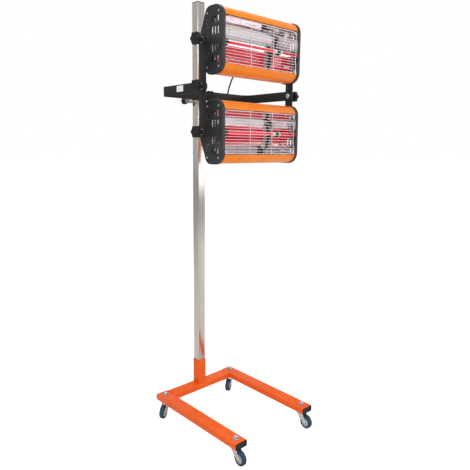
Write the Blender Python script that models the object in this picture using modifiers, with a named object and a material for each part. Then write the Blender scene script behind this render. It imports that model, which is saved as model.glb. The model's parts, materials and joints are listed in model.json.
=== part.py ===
"""Infrared lamp: two heads in a tilting frame that slides on a post, over a rolling U base.

The post stands on the middle of the rear bar, the legs run towards -Y and the heads face -Y.
Z = 0 is the floor. Lengths are in metres.
"""

import math

import bmesh
import bpy
from mathutils import Matrix, Vector

# Clearances
TOUCH = 0.0003
RUN = 0.0006
SLIDE = 0.0005
WELD = 0.00001
OVERRUN = 0.004

# Base frame
BASE_WIDTH = 0.464
LEG_LENGTH = 0.542
LEG_WIDTH = 0.060
LEG_HEIGHT = 0.027
REAR_BAR_WIDTH = 0.060
BASE_WALL = 0.002
BASE_CORNER = 0.004
PLUG_FLANGE = 0.0025
PLUG_DEPTH = 0.014
PLUG_RIM = 0.003
PLUG_RECESS = 0.0012

# Casters
WHEEL_RADIUS = 0.030
WHEEL_WIDTH = 0.020
TYRE_DEPTH = 0.010
TYRE_SHOULDER = 0.004
HUB_BOSS_RADIUS = 0.0085
HUB_WEB = 0.006
HUB_RIM_SETBACK = 0.002
CASTER_TRAIL = 0.030
CASTER_HEIGHT = 0.072
CASTER_INSET = 0.031
FORK_PLATE = 0.002
FORK_SIDE_GAP = 0.0016
CROWN_RADIUS = 0.019
RACE_HEIGHT = 0.004
LOWER_RACE = 0.002
KINGPIN_RADIUS = 0.004
KINGPIN_HEAD_RADIUS = 0.007
KINGPIN_HEAD = 0.002
AXLE_RADIUS = 0.004
AXLE_HEAD_RADIUS = 0.0068
AXLE_HEAD = 0.003
FORK_EYE = 0.0085
STEM_RADIUS = 0.005
STEM_NUT_RADIUS = 0.0095
STEM_NUT_HEIGHT = 0.008
STEM_WASHER_RADIUS = 0.012
STEM_WASHER = 0.0016
STEM_TIP = 0.004
REAR_SWIVEL = math.radians(-58.0)
FRONT_SWIVEL = math.radians(-4.0)

# Post, socket and collar
POST_WIDTH = 0.040
POST_HEIGHT = 1.750
POST_WALL = 0.0015
POST_CORNER = 0.003
POST_CAP = 0.003
POST_CAP_PLUG = 0.016
SOCKET_HEIGHT = 0.120
SOCKET_WALL = 0.0025
COLLAR_WALL = 0.0025
COLLAR_CORNER = 0.004
COLLAR_ABOVE = 0.019
COLLAR_BELOW = 0.026
COLLAR_EAR = 0.034
COLLAR_BOLT_DROP = 0.016
COLLAR_BOLT_OFFSET = 0.040
COLLAR_BOLT_RADIUS = 0.005
COLLAR_BOLT_HEAD_RADIUS = 0.009
COLLAR_BOLT_HEAD = 0.005
HUB_RADIUS = 0.013
HUB_REACH = 0.0605

# U bracket and side bars
FLAT_THICKNESS = 0.005
FLAT_HEIGHT = 0.038
BRACKET_HEIGHT = 1.357
ARM_REACH = 0.3237
BEND_RADIUS = 0.025
BAR_HEIGHT_STEP = 0.164
PIVOT_BOLT_RADIUS = 0.004
ARM_BOLT_HEAD_RADIUS = 0.0105
ARM_BOLT_HEAD = 0.004

# Star knobs
KNOB_RADIUS = 0.0235
KNOB_THICKNESS = 0.018
KNOB_NECK = 0.0195
KNOB_NECK_RADIUS = 0.009
KNOB_FLARE_RADIUS = 0.0105
KNOB_FLARE = 0.0015
KNOB_EDGE = 0.003
KNOB_LOBES = 6
KNOB_LOBE_STEPS = 4
KNOB_DIP_SHARE = 0.20
KNOB_BORE_DEPTH = 0.014
SMALL_KNOB_RADIUS = 0.016
SMALL_KNOB_THICKNESS = 0.016
CENTRE_KNOB_NECK = 0.004
CENTRE_STUD_RADIUS = 0.005
CENTRE_STUD_CLEARANCE = 0.018
STUD_BITE = 0.016

# Lamp heads
HEAD_LENGTH = 0.426
HEAD_HEIGHT = 0.240
HEAD_FRONT = 0.080
HEAD_BACK = 0.050
HEAD_TOP_BACK = 0.010
HEAD_BACK_HALF = 0.024
HEAD_FRONT_RADIUS = 0.044
HEAD_TOP_RADIUS = 0.028
HEAD_BACK_RADIUS = 0.016
WINDOW_HEIGHT = 0.168
CAP_WIDTH = 0.015
CAP_WALL = 0.0025
CAP_EDGE = 0.003
CAP_BOSS_RADIUS = 0.014
CAP_BOSS_REACH = 0.0237
SHELL_WALL = 0.0018
LIP_RETURN = 0.010
SLOT_WIDTH = 0.0045
SLOT_PITCH = 0.0155
SLOT_FIRST = 0.056
SLOT_COLUMNS = 3
SLOT_INNER_ROW = 0.0305
SLOT_INNER_LENGTH = 0.027
SLOT_OUTER_ROW = 0.0690
SLOT_OUTER_LENGTH = 0.023
TROUGH_SKIN = 0.0008
TROUGH_BOTTOM = 0.006
TROUGH_INSET = 0.005
TROUGH_FOLDS = 11
TUBE_RADIUS = 0.006
TUBE_DEPTH = 0.030
TUBE_END_ROOM = 0.043
TUBE_OFFSET = -0.014
CERAMIC_LENGTH = 0.046
CERAMIC_RADIUS = 0.009
CLIP_WIDTH = 0.014
CLIP_RADIUS = 0.0125
CLIP_FOOT = 0.012
GUARD_DEPTH = 0.0715
GUARD_INSET = 0.0186
GUARD_HALF_HEIGHT = 0.0795
GUARD_LOOP_WIRE = 0.0015
GUARD_WIRE = 0.0011
GUARD_CORNER = 0.022
GUARD_ROWS = 14
GUARD_POSTS = 2
GUARD_BITE = 0.0006
GLAND_RADIUS = 0.008
GLAND_BASE_RADIUS = 0.0096
GLAND_BASE = 0.004
GLAND_LENGTH = 0.016
LEAD_RADIUS = 0.003
UPPER_GLAND_X = -0.020
LOWER_GLAND_X = -0.062
LEAD_SLACK = 0.048
LEAD_STRAIGHT = 0.006
LEAD_STEP = 0.0135

# Shares of a size that a piece already has
EASE_SHARE = 0.2
DOME_SHARE = 0.7
CORE_SHARE = 0.5
GUARD_POST_SHARE = 0.314

# Facet counts
WHEEL_ROUND = 24
ROUND = 16
SMALL_ROUND = 12
CORNER_STEPS = 2
HEAD_CORNER_STEPS = 4
SLOT_STEPS = 2
BAR_END_STEPS = 6

# Places that follow from the sizes above
BASE_TOP = CASTER_HEIGHT + LEG_HEIGHT
BASE_MIDDLE = CASTER_HEIGHT + LEG_HEIGHT / 2
LEG_X = (BASE_WIDTH - LEG_WIDTH) / 2
LEG_BACK = REAR_BAR_WIDTH / 2
LEG_FRONT = LEG_BACK - LEG_LENGTH
STEM_BACK = LEG_BACK - CASTER_INSET
STEM_FRONT = LEG_FRONT + CASTER_INSET
RACE_BOTTOM = CASTER_HEIGHT - TOUCH - RACE_HEIGHT
CROWN_TOP = RACE_BOTTOM - TOUCH - LOWER_RACE
CROWN_BOTTOM = CROWN_TOP - FORK_PLATE
FORK_INNER = WHEEL_WIDTH / 2 + FORK_SIDE_GAP
FORK_OUTER = FORK_INNER + FORK_PLATE
AXIS_HEIGHT = BASE_TOP + BRACKET_HEIGHT
POST_TOP = BASE_TOP + POST_HEIGHT
COLLAR_BORE = POST_WIDTH / 2 + SLIDE
COLLAR_HALF = COLLAR_BORE + COLLAR_WALL
STRIP_BACK = HUB_REACH + TOUCH
STRIP_FRONT = STRIP_BACK + FLAT_THICKNESS
CENTRE_SEAT = STRIP_FRONT + TOUCH
BOSS_END = HEAD_LENGTH / 2 + CAP_BOSS_REACH
BAR_INNER = BOSS_END + TOUCH
ARM_OUTER = BAR_INNER - SLIDE
BAR_OUTER = BAR_INNER + FLAT_THICKNESS
KNOB_SEAT = BAR_OUTER + TOUCH
COLLAR_SEAT = COLLAR_HALF + TOUCH
COLLAR_KNOB_END = COLLAR_SEAT + KNOB_NECK + SMALL_KNOB_THICKNESS
WHEEL_REACH = (CASTER_TRAIL + WHEEL_RADIUS) * math.cos(FRONT_SWIVEL)
TREAD_REACH = (WHEEL_WIDTH / 2 - TYRE_SHOULDER) * abs(math.sin(FRONT_SWIVEL))
FRONT_END = WHEEL_REACH + TREAD_REACH - STEM_FRONT
POST_Y = (FRONT_END - COLLAR_KNOB_END) / 2
SHELL_INSET = CAP_WALL + TOUCH
LIP_HALF = WINDOW_HEIGHT / 2
CAP_INNER = HEAD_LENGTH / 2 - CAP_WIDTH
TROUGH_LENGTH = HEAD_LENGTH - 2 * TROUGH_INSET
TUBE_LENGTH = TROUGH_LENGTH - 2 * (TUBE_END_ROOM + CERAMIC_LENGTH)

# Turns that lay a piece's own Z along one of the lamp's directions
TO_RIGHT = (math.pi / 2, 0.0, math.pi / 2)
TO_LEFT = (math.pi / 2, 0.0, -math.pi / 2)
TO_FRONT = (math.pi / 2, 0.0, 0.0)
TO_BACK = (-math.pi / 2, 0.0, 0.0)
UPRIGHT = (0.0, 0.0, 0.0)
HERE = (0.0, 0.0, 0.0)

# Finishes as name, sRGB colour, roughness and metallic
ORANGE_COAT = ("orange powder coat", (0.93, 0.38, 0.13), 0.35, 0.0)
HEAD_ORANGE = ("head orange lacquer", (0.96, 0.54, 0.16), 0.35, 0.0)
BLACK_COAT = ("black powder coat", (0.13, 0.13, 0.14), 0.5, 0.0)
BLACK_PLASTIC = ("black moulded plastic", (0.16, 0.16, 0.17), 0.45, 0.0)
STAINLESS = ("polished stainless", (0.78, 0.77, 0.75), 0.2, 1.0)
ZINC = ("zinc plate", (0.72, 0.73, 0.74), 0.3, 1.0)
RUBBER = ("slate blue rubber", (0.17, 0.24, 0.30), 0.75, 0.0)
HUB_GREY = ("light grey hub", (0.70, 0.72, 0.72), 0.5, 0.0)
MIRROR = ("polished aluminium", (0.90, 0.90, 0.91), 0.06, 1.0)
RUBY = ("ruby quartz", (0.75, 0.05, 0.06), 0.1, 0.0)
LEAD_BLACK = ("black lead sheath", (0.05, 0.05, 0.05), 0.55, 0.0)


def clear_scene():
    """Remove every object that is in the file."""
    for item in list(bpy.data.objects):
        bpy.data.objects.remove(item, do_unlink=True)


clear_scene()
PARTS = bpy.data.collections.new("infrared_lamp")
CUTTERS = bpy.data.collections.new("cutters")
bpy.context.scene.collection.children.link(PARTS)
bpy.context.scene.collection.children.link(CUTTERS)


def finish(name, colour, roughness, metallic):
    """A Principled material from an sRGB colour, made once for each finish."""
    known = bpy.data.materials.get(name)
    if known:
        return known
    linear = [((c + 0.055) / 1.055) ** 2.4 if c > 0.04045 else c / 12.92 for c in colour]
    result = bpy.data.materials.new(name)
    result.use_nodes = True
    shader = result.node_tree.nodes["Principled BSDF"]
    shader.inputs["Base Color"].default_value = (*linear, 1.0)
    shader.inputs["Roughness"].default_value = roughness
    shader.inputs["Metallic"].default_value = metallic
    result.diffuse_color = (*linear, 1.0)
    return result


def axis_empty(name, location, parent=None, turn=0.0):
    """An empty on a joint's axis, turned about the lamp's Z where asked."""
    result = bpy.data.objects.new(name, None)
    PARTS.objects.link(result)
    result.location = location
    result.rotation_euler = (0.0, 0.0, turn)
    result.parent = parent
    return result


def put(name, mesh, parent, location=HERE, rotation=UPRIGHT, look=None):
    """Place a mesh as a piece of the lamp, or as a cutter when it has no look."""
    result = bpy.data.objects.new(name, mesh)
    home = PARTS if look else CUTTERS
    home.objects.link(result)
    result.location = location
    result.rotation_euler = rotation
    result.parent = parent
    if look:
        mesh.materials.clear()
        mesh.materials.append(finish(*look))
    else:
        result.hide_render = True
        result.display_type = "WIRE"
    return result


def combine(target, tool, operation):
    """Cut a piece with a tool, join the two or keep what they share."""
    change = target.modifiers.new(tool.name, "BOOLEAN")
    change.operation = operation
    change.solver = "EXACT"
    change.object = tool


def taken(item):
    """The finished mesh of a helper object, which is then removed with its tools."""
    bpy.context.view_layer.update()
    graph = bpy.context.evaluated_depsgraph_get()
    mesh = bpy.data.meshes.new_from_object(item.evaluated_get(graph))
    tools = [change.object for change in item.modifiers if change.type == "BOOLEAN"]
    for spent in [item, *tools]:
        data = spent.data
        bpy.data.objects.remove(spent, do_unlink=True)
        home = bpy.data.curves if isinstance(data, bpy.types.Curve) else bpy.data.meshes
        if not data.users:
            home.remove(data)
    return mesh


def cleaned(mesh):
    """Weld a mesh's loose seams and face it outward."""
    work = bmesh.new()
    work.from_mesh(mesh)
    bmesh.ops.remove_doubles(work, verts=work.verts, dist=WELD)
    bmesh.ops.recalc_face_normals(work, faces=work.faces)
    work.to_mesh(mesh)
    work.free()
    return mesh


def smooth(mesh, limit=35.0):
    """Shade a round piece smooth, but for edges over a number of degrees."""
    mesh.shade_smooth()
    mesh.set_sharp_from_angle(angle=math.radians(limit))
    return mesh


def curve_mesh(curve):
    """A curve as a closed mesh."""
    item = bpy.data.objects.new("curve", curve)
    bpy.context.scene.collection.objects.link(item)
    return cleaned(taken(item))


def plate(outline, thickness, holes=(), edge=0.0):
    """A flat outline with holes, centred on its own XY plane, with its edges chamfered."""
    curve = bpy.data.curves.new("outline", "CURVE")
    curve.dimensions = "2D"
    curve.fill_mode = "BOTH"
    curve.extrude = thickness / 2 - edge
    curve.bevel_depth = edge
    curve.bevel_resolution = 0
    curve.offset = -edge
    for ring in (outline, *holes):
        spline = curve.splines.new("POLY")
        spline.points.add(len(ring) - 1)
        for point, (x, y) in zip(spline.points, ring):
            point.co = (x, y, 0.0, 1.0)
        spline.use_cyclic_u = True
    return curve_mesh(curve)


def wire(points, radius, resolution=0, closed=False):
    """A round wire along points, with filled ends."""
    curve = bpy.data.curves.new("wire", "CURVE")
    curve.dimensions = "3D"
    curve.bevel_depth = radius
    curve.bevel_resolution = resolution
    curve.use_fill_caps = True
    spline = curve.splines.new("POLY")
    spline.points.add(len(points) - 1)
    for point, place in zip(spline.points, points):
        point.co = (*place, 1.0)
    spline.use_cyclic_u = closed
    return smooth(curve_mesh(curve), 75.0)


def turned(profile, steps=ROUND, ring=False):
    """A solid turned about its own Z from (radius, height) points, outer side top to bottom."""
    mesh = bpy.data.meshes.new("profile")
    count = len(profile)
    last = count if ring else count - 1
    edges = [(index, (index + 1) % count) for index in range(last)]
    mesh.from_pydata([(radius, 0.0, height) for radius, height in profile], edges, [])
    item = bpy.data.objects.new("profile", mesh)
    bpy.context.scene.collection.objects.link(item)
    screw = item.modifiers.new("turn", "SCREW")
    screw.axis = "Z"
    screw.angle = math.tau
    screw.steps = steps
    screw.render_steps = steps
    screw.use_merge_vertices = True
    screw.merge_threshold = WELD
    return smooth(cleaned(taken(item)))


def cylinder(radius, low, high, steps=SMALL_ROUND):
    """A round bar along its own Z."""
    mesh = bpy.data.meshes.new("cylinder")
    work = bmesh.new()
    bmesh.ops.create_cone(
        work, cap_ends=True, segments=steps, radius1=radius, radius2=radius, depth=high - low)
    bmesh.ops.translate(work, vec=(0.0, 0.0, (low + high) / 2), verts=work.verts)
    work.to_mesh(mesh)
    work.free()
    return smooth(mesh)


def box(width, depth, height):
    """A box centred on its own origin."""
    mesh = bpy.data.meshes.new("box")
    work = bmesh.new()
    bmesh.ops.create_cube(work, size=1.0)
    bmesh.ops.scale(work, vec=(width, depth, height), verts=work.verts)
    work.to_mesh(mesh)
    work.free()
    return mesh


def raised(mesh, height):
    """The same mesh moved along its own Z."""
    mesh.transform(Matrix.Translation((0.0, 0.0, height)))
    return mesh


def rounded(corners, radii, steps=CORNER_STEPS):
    """An outline with each corner of a polygon replaced by an arc of its own radius."""
    points = []
    count = len(corners)
    for index, corner in enumerate(corners):
        here = Vector(corner)
        radius = radii[index]
        if not radius:
            points.append(tuple(here))
            continue
        back = (Vector(corners[index - 1]) - here).normalized()
        ahead = (Vector(corners[(index + 1) % count]) - here).normalized()
        half = back.angle(ahead) / 2
        centre = here + (back + ahead).normalized() * radius / math.sin(half)
        start = here + back * radius / math.tan(half) - centre
        end = here + ahead * radius / math.tan(half) - centre
        sweep = start.angle_signed(end)
        for step in range(steps + 1):
            points.append(tuple(centre + Matrix.Rotation(-sweep * step / steps, 2) @ start))
    return points


def rectangle(width, height, radius=0.0, steps=CORNER_STEPS):
    """A rectangle about the origin with rounded corners."""
    x, y = width / 2, height / 2
    return rounded([(-x, -y), (x, -y), (x, y), (-x, y)], [radius] * 4, steps)


def circle(radius, centre=(0.0, 0.0), steps=SMALL_ROUND):
    """A round outline."""
    angles = [math.tau * step / steps for step in range(steps)]
    return [(centre[0] + radius * math.cos(a), centre[1] + radius * math.sin(a)) for a in angles]


def stadium(length, width, centre=(0.0, 0.0), steps=BAR_END_STEPS):
    """An outline that is straight along its Y, with half-round ends of so many steps."""
    run = (length - width) / 2
    points = []
    for end in (1, -1):
        for step in range(steps + 1):
            angle = math.pi * step / steps
            x = centre[0] + end * math.cos(angle) * width / 2
            y = centre[1] + end * (run + math.sin(angle) * width / 2)
            points.append((x, y))
    return points


# Base frame


def base_tube(name, root, length, width, location, rotation, drill_at):
    """A rectangular tube whose walls are drilled for the caster stems."""
    outer = rectangle(width, LEG_HEIGHT, BASE_CORNER)
    inner = rectangle(width - 2 * BASE_WALL, LEG_HEIGHT - 2 * BASE_WALL, BASE_CORNER - BASE_WALL)
    tube = put(name, plate(outer, length, [inner]), root, location, rotation, ORANGE_COAT)
    reach = LEG_HEIGHT / 2 + OVERRUN
    for number, place in enumerate(drill_at):
        drill = cylinder(STEM_RADIUS + RUN, -reach, reach)
        combine(tube, put(f"{name}_drill_{number}", drill, root, place), "DIFFERENCE")


def base_frame(root):
    """Two legs with the rear bar between them."""
    for name, side in (("left_leg", -1), ("right_leg", 1)):
        x = side * LEG_X
        drills = [(x, y, BASE_MIDDLE) for y in (STEM_BACK, STEM_FRONT)]
        place = (x, (LEG_BACK + LEG_FRONT) / 2, BASE_MIDDLE)
        base_tube(name, root, LEG_LENGTH, LEG_WIDTH, place, TO_FRONT, drills)
    length = BASE_WIDTH - 2 * LEG_WIDTH - 2 * TOUCH
    place = (0.0, 0.0, BASE_MIDDLE)
    base_tube("rear_bar", root, length, REAR_BAR_WIDTH, place, TO_RIGHT, [])


def plug_mesh():
    """A plastic plug with a recessed face, its flange on +Z and its body pushed into the tube."""
    loose = 2 * (BASE_WALL + TOUCH)
    flange = plate(rectangle(LEG_WIDTH, LEG_HEIGHT, BASE_CORNER), PLUG_FLANGE)
    body = plate(rectangle(LEG_WIDTH - loose, LEG_HEIGHT - loose, BASE_CORNER - BASE_WALL), PLUG_DEPTH)
    dish = plate(rectangle(LEG_WIDTH - 2 * PLUG_RIM, LEG_HEIGHT - 2 * PLUG_RIM), 2 * PLUG_RECESS)
    plug = put("plug", raised(flange, PLUG_FLANGE / 2), None)
    combine(plug, put("plug_body", raised(body, TOUCH - PLUG_DEPTH / 2), None), "UNION")
    combine(plug, put("plug_dish", raised(dish, PLUG_FLANGE), None), "DIFFERENCE")
    return taken(plug)


def end_plugs(root):
    """A plug in each open end of the two legs."""
    plug = plug_mesh()
    for side, x in (("left", -LEG_X), ("right", LEG_X)):
        front = (x, LEG_FRONT - TOUCH, BASE_MIDDLE)
        back = (x, LEG_BACK + TOUCH, BASE_MIDDLE)
        put(f"{side}_leg_front_plug", plug.copy(), root, front, TO_FRONT, BLACK_PLASTIC)
        put(f"{side}_leg_rear_plug", plug.copy(), root, back, TO_BACK, BLACK_PLASTIC)


def post_and_socket(root):
    """The square post in the socket on the rear bar, with its cap."""
    bore = POST_WIDTH + 2 * SLIDE
    width = bore + 2 * SOCKET_WALL
    outer = rectangle(width, width, POST_CORNER + SOCKET_WALL)
    sleeve = plate(outer, SOCKET_HEIGHT, [rectangle(bore, bore, POST_CORNER)])
    foot = BASE_TOP + TOUCH
    put("post_socket", sleeve, root, (0.0, 0.0, foot + SOCKET_HEIGHT / 2), look=ORANGE_COAT)
    low = foot + TOUCH
    hollow = POST_WIDTH - 2 * POST_WALL
    skin = rectangle(POST_WIDTH, POST_WIDTH, POST_CORNER)
    lining = rectangle(hollow, hollow, POST_CORNER - POST_WALL)
    centre = (0.0, 0.0, (POST_TOP + low) / 2)
    put("post", plate(skin, POST_TOP - low, [lining]), root, centre, look=STAINLESS)
    stub_width = hollow - 2 * TOUCH
    stub = plate(rectangle(stub_width, stub_width, POST_CORNER - POST_WALL), POST_CAP_PLUG)
    cap_place = (0.0, 0.0, POST_TOP + TOUCH)
    cap = put("post_cap", raised(plate(skin, POST_CAP), POST_CAP / 2), root, cap_place, look=BLACK_PLASTIC)
    core = put("post_cap_core", raised(stub, TOUCH - POST_CAP_PLUG / 2), root, cap_place)
    combine(cap, core, "UNION")


# Casters


def stem_mesh():
    """A stem with its upper race, its washer and nut, and the kingpin that holds the fork."""
    washer_low = BASE_TOP + TOUCH
    washer_top = washer_low + STEM_WASHER
    nut_top = washer_top + STEM_NUT_HEIGHT
    tip = nut_top + STEM_TIP
    race_top = CASTER_HEIGHT - TOUCH
    pin_low = CROWN_BOTTOM - TOUCH
    profile = [
        (0.0, tip),
        (STEM_RADIUS, tip),
        (STEM_RADIUS, washer_top),
        (STEM_WASHER_RADIUS, washer_top),
        (STEM_WASHER_RADIUS, washer_low),
        (STEM_RADIUS, washer_low),
        (STEM_RADIUS, race_top),
        (CROWN_RADIUS, race_top),
        (CROWN_RADIUS - RACE_HEIGHT / 2, RACE_BOTTOM),
        (KINGPIN_RADIUS, RACE_BOTTOM),
        (KINGPIN_RADIUS, pin_low),
        (KINGPIN_HEAD_RADIUS, pin_low),
        (KINGPIN_HEAD_RADIUS, pin_low - KINGPIN_HEAD),
        (0.0, pin_low - KINGPIN_HEAD),
    ]
    stem = put("stem", turned(profile, SMALL_ROUND), None)
    nut = plate(circle(STEM_NUT_RADIUS, steps=6), STEM_NUT_HEIGHT)
    combine(stem, put("stem_nut", raised(nut, nut_top - TOUCH - STEM_NUT_HEIGHT / 2), None), "UNION")
    return taken(stem)


def fork_mesh():
    """A pressed fork whose plates trail from the crown to the axle, with the riveted axle."""
    tail = CASTER_TRAIL + FORK_EYE
    shoulder = CROWN_BOTTOM - FORK_PLATE
    side = rounded(
        [(-CROWN_RADIUS, CROWN_TOP), (-CROWN_RADIUS, shoulder), (CASTER_TRAIL - FORK_EYE, WHEEL_RADIUS - FORK_EYE),
         (tail, WHEEL_RADIUS - FORK_EYE), (tail, WHEEL_RADIUS + FORK_EYE), (CROWN_RADIUS, shoulder),
         (CROWN_RADIUS, CROWN_TOP)],
        [0.0, 0.0, 0.0, FORK_EYE, FORK_EYE * CORE_SHARE, 0.0, 0.0])
    fork = put("fork", plate(side, 2 * FORK_OUTER), None, rotation=TO_RIGHT)
    room = box(2 * FORK_INNER, 2 * (tail + CROWN_RADIUS), CROWN_BOTTOM)
    combine(fork, put("fork_room", room, None, (0.0, 0.0, CROWN_BOTTOM / 2)), "DIFFERENCE")
    race_radius = CROWN_RADIUS - RACE_HEIGHT
    race = cylinder(race_radius, CROWN_TOP - TOUCH, CROWN_TOP + LOWER_RACE)
    combine(fork, put("fork_race", race, None), "UNION")
    bore = cylinder(KINGPIN_RADIUS + RUN, CROWN_BOTTOM - OVERRUN, CROWN_TOP + LOWER_RACE + OVERRUN)
    combine(fork, put("fork_bore", bore, None), "DIFFERENCE")
    head = FORK_OUTER + AXLE_HEAD
    rim = AXLE_HEAD_RADIUS * DOME_SHARE
    seat = FORK_OUTER - TOUCH
    profile = [
        (0.0, head),
        (rim, head),
        (AXLE_HEAD_RADIUS, seat),
        (AXLE_RADIUS, seat),
        (AXLE_RADIUS, -seat),
        (AXLE_HEAD_RADIUS, -seat),
        (rim, -head),
        (0.0, -head),
    ]
    axle = put("fork_axle", turned(profile, SMALL_ROUND), None, (0.0, CASTER_TRAIL, WHEEL_RADIUS), TO_RIGHT)
    combine(fork, axle, "UNION")
    mesh = taken(fork)
    mesh.transform(Matrix.Rotation(math.pi / 2, 4, "Z") @ Matrix.Rotation(math.pi / 2, 4, "X"))
    return smooth(mesh)


def hub_mesh():
    """A wheel centre with a deep boss and a web that widens to the rim under the tyre."""
    bore = AXLE_RADIUS + RUN
    boss = FORK_INNER - TOUCH
    rim = WHEEL_RADIUS - TYRE_DEPTH
    web = HUB_WEB / 2
    edge = WHEEL_WIDTH / 2 - HUB_RIM_SETBACK
    profile = [
        (bore, boss),
        (HUB_BOSS_RADIUS, boss),
        (HUB_BOSS_RADIUS, web),
        (rim, edge),
        (rim, -edge),
        (HUB_BOSS_RADIUS, -web),
        (HUB_BOSS_RADIUS, -boss),
        (bore, -boss),
    ]
    return turned(profile, ROUND, ring=True)


def tyre_mesh():
    """A rubber tread ring with round shoulders."""
    half = WHEEL_WIDTH / 2
    inner = WHEEL_RADIUS - TYRE_DEPTH + TOUCH
    waist = WHEEL_RADIUS - TYRE_SHOULDER
    flat = half - TYRE_SHOULDER
    profile = [
        (inner, half),
        (waist, half),
        (WHEEL_RADIUS, flat),
        (WHEEL_RADIUS, -flat),
        (waist, -half),
        (inner, -half),
    ]
    return turned(profile, WHEEL_ROUND, ring=True)


def casters(root):
    """Four swivel casters: stems in the legs, forks that swivel and wheels that roll."""
    corners = [
        ("front_left", -LEG_X, STEM_FRONT, FRONT_SWIVEL),
        ("front_right", LEG_X, STEM_FRONT, FRONT_SWIVEL),
        ("rear_left", -LEG_X, STEM_BACK, REAR_SWIVEL),
        ("rear_right", LEG_X, STEM_BACK, REAR_SWIVEL),
    ]
    stem, fork, hub, tyre = stem_mesh(), fork_mesh(), hub_mesh(), tyre_mesh()
    for corner, x, y, swivel in corners:
        put(f"{corner}_stem", stem.copy(), root, (x, y, 0.0), look=ZINC)
        axis = axis_empty(f"{corner}_swivel", (x, y, 0.0), root, swivel + math.pi)
        put(f"{corner}_fork", fork.copy(), axis, look=ZINC)
        wheel = axis_empty(f"{corner}_axle", (0.0, CASTER_TRAIL, WHEEL_RADIUS), axis)
        put(f"{corner}_hub", hub.copy(), wheel, rotation=TO_RIGHT, look=HUB_GREY)
        put(f"{corner}_tyre", tyre.copy(), wheel, rotation=TO_RIGHT, look=RUBBER)


# Star knobs


def star_outline(radius):
    """A round outline with shallow dips between its lobes."""
    count = KNOB_LOBES * KNOB_LOBE_STEPS
    points = []
    for step in range(count):
        angle = math.tau * step / count
        reach = radius * (1 - KNOB_DIP_SHARE * (1 - math.cos(KNOB_LOBES * angle)) / 2)
        points.append((reach * math.cos(angle), reach * math.sin(angle)))
    return points


def star_knob(name, axis, rotation, hole, stud=0.0, neck=KNOB_NECK, radius=KNOB_RADIUS,
              thickness=KNOB_THICKNESS):
    """A star knob seated at its axis, with a stud below its seat or a blind bore for a bolt."""
    star = smooth(plate(star_outline(radius), thickness, edge=KNOB_EDGE), 50.0)
    knob = put(name, raised(star, neck + thickness / 2), axis, rotation=rotation, look=BLACK_PLASTIC)
    profile = [
        (0.0, neck + thickness / 2),
        (KNOB_NECK_RADIUS, neck + thickness / 2),
        (KNOB_NECK_RADIUS, KNOB_FLARE),
        (KNOB_FLARE_RADIUS, KNOB_FLARE),
        (KNOB_FLARE_RADIUS, 0.0),
    ]
    if stud:
        profile += [(hole, 0.0), (hole, -stud), (0.0, -stud)]
    else:
        profile += [(0.0, 0.0)]
    shank = put(f"{name}_neck", turned(profile, SMALL_ROUND), axis, rotation=rotation)
    combine(knob, shank, "UNION")
    if not stud:
        bore = cylinder(hole + RUN, -OVERRUN, KNOB_BORE_DEPTH)
        combine(knob, put(f"{name}_bore", bore, axis, rotation=rotation), "DIFFERENCE")


def bolt_mesh(radius, head_radius, head, length):
    """A round-headed bolt whose head sits under Z = 0 and whose shank runs up +Z."""
    return turned([
        (0.0, length),
        (radius, length),
        (radius, 0.0),
        (head_radius, 0.0),
        (head_radius * DOME_SHARE, -head),
        (0.0, -head),
    ], SMALL_ROUND)


# Collar on the post


def collar(slider):
    """A strap round the post with two ears at the left, and the hub that carries the bracket."""
    tip = COLLAR_HALF + COLLAR_EAR
    half, bore = COLLAR_HALF, COLLAR_BORE
    lining = COLLAR_CORNER - COLLAR_WALL
    outline = rounded(
        [(-tip, -half), (half, -half), (half, half), (-tip, half),
         (-tip, bore), (bore, bore), (bore, -bore), (-tip, -bore)],
        [0.0, COLLAR_CORNER, COLLAR_CORNER, 0.0, 0.0, lining, lining, 0.0])
    lift = (COLLAR_ABOVE - COLLAR_BELOW) / 2
    mesh = plate(outline, COLLAR_ABOVE + COLLAR_BELOW)
    strap = put("collar", mesh, slider, (0.0, 0.0, lift), look=ZINC)
    hub = cylinder(HUB_RADIUS, COLLAR_HALF - TOUCH, HUB_REACH, ROUND)
    combine(strap, put("collar_hub", hub, slider, rotation=TO_FRONT), "UNION")
    tap = cylinder(CENTRE_STUD_RADIUS + RUN, POST_WIDTH / 2, HUB_REACH + OVERRUN)
    combine(strap, put("collar_tap", tap, slider, rotation=TO_FRONT), "DIFFERENCE")
    x, z = -COLLAR_BOLT_OFFSET, -COLLAR_BOLT_DROP
    drill = cylinder(COLLAR_BOLT_RADIUS + RUN, -COLLAR_HALF - OVERRUN, COLLAR_HALF + OVERRUN)
    combine(strap, put("collar_drill", drill, slider, (x, 0.0, z), TO_BACK), "DIFFERENCE")
    length = 2 * COLLAR_SEAT + KNOB_BORE_DEPTH - RUN
    bolt = bolt_mesh(COLLAR_BOLT_RADIUS, COLLAR_BOLT_HEAD_RADIUS, COLLAR_BOLT_HEAD, length)
    put("collar_bolt", bolt, slider, (x, -COLLAR_SEAT, z), TO_BACK, ZINC)
    knob_axis = axis_empty("collar_knob_axis", (x, COLLAR_SEAT, z), slider)
    star_knob("collar_knob", knob_axis, TO_BACK, COLLAR_BOLT_RADIUS,
              radius=SMALL_KNOB_RADIUS, thickness=SMALL_KNOB_THICKNESS)


# U bracket and side bars


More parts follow.
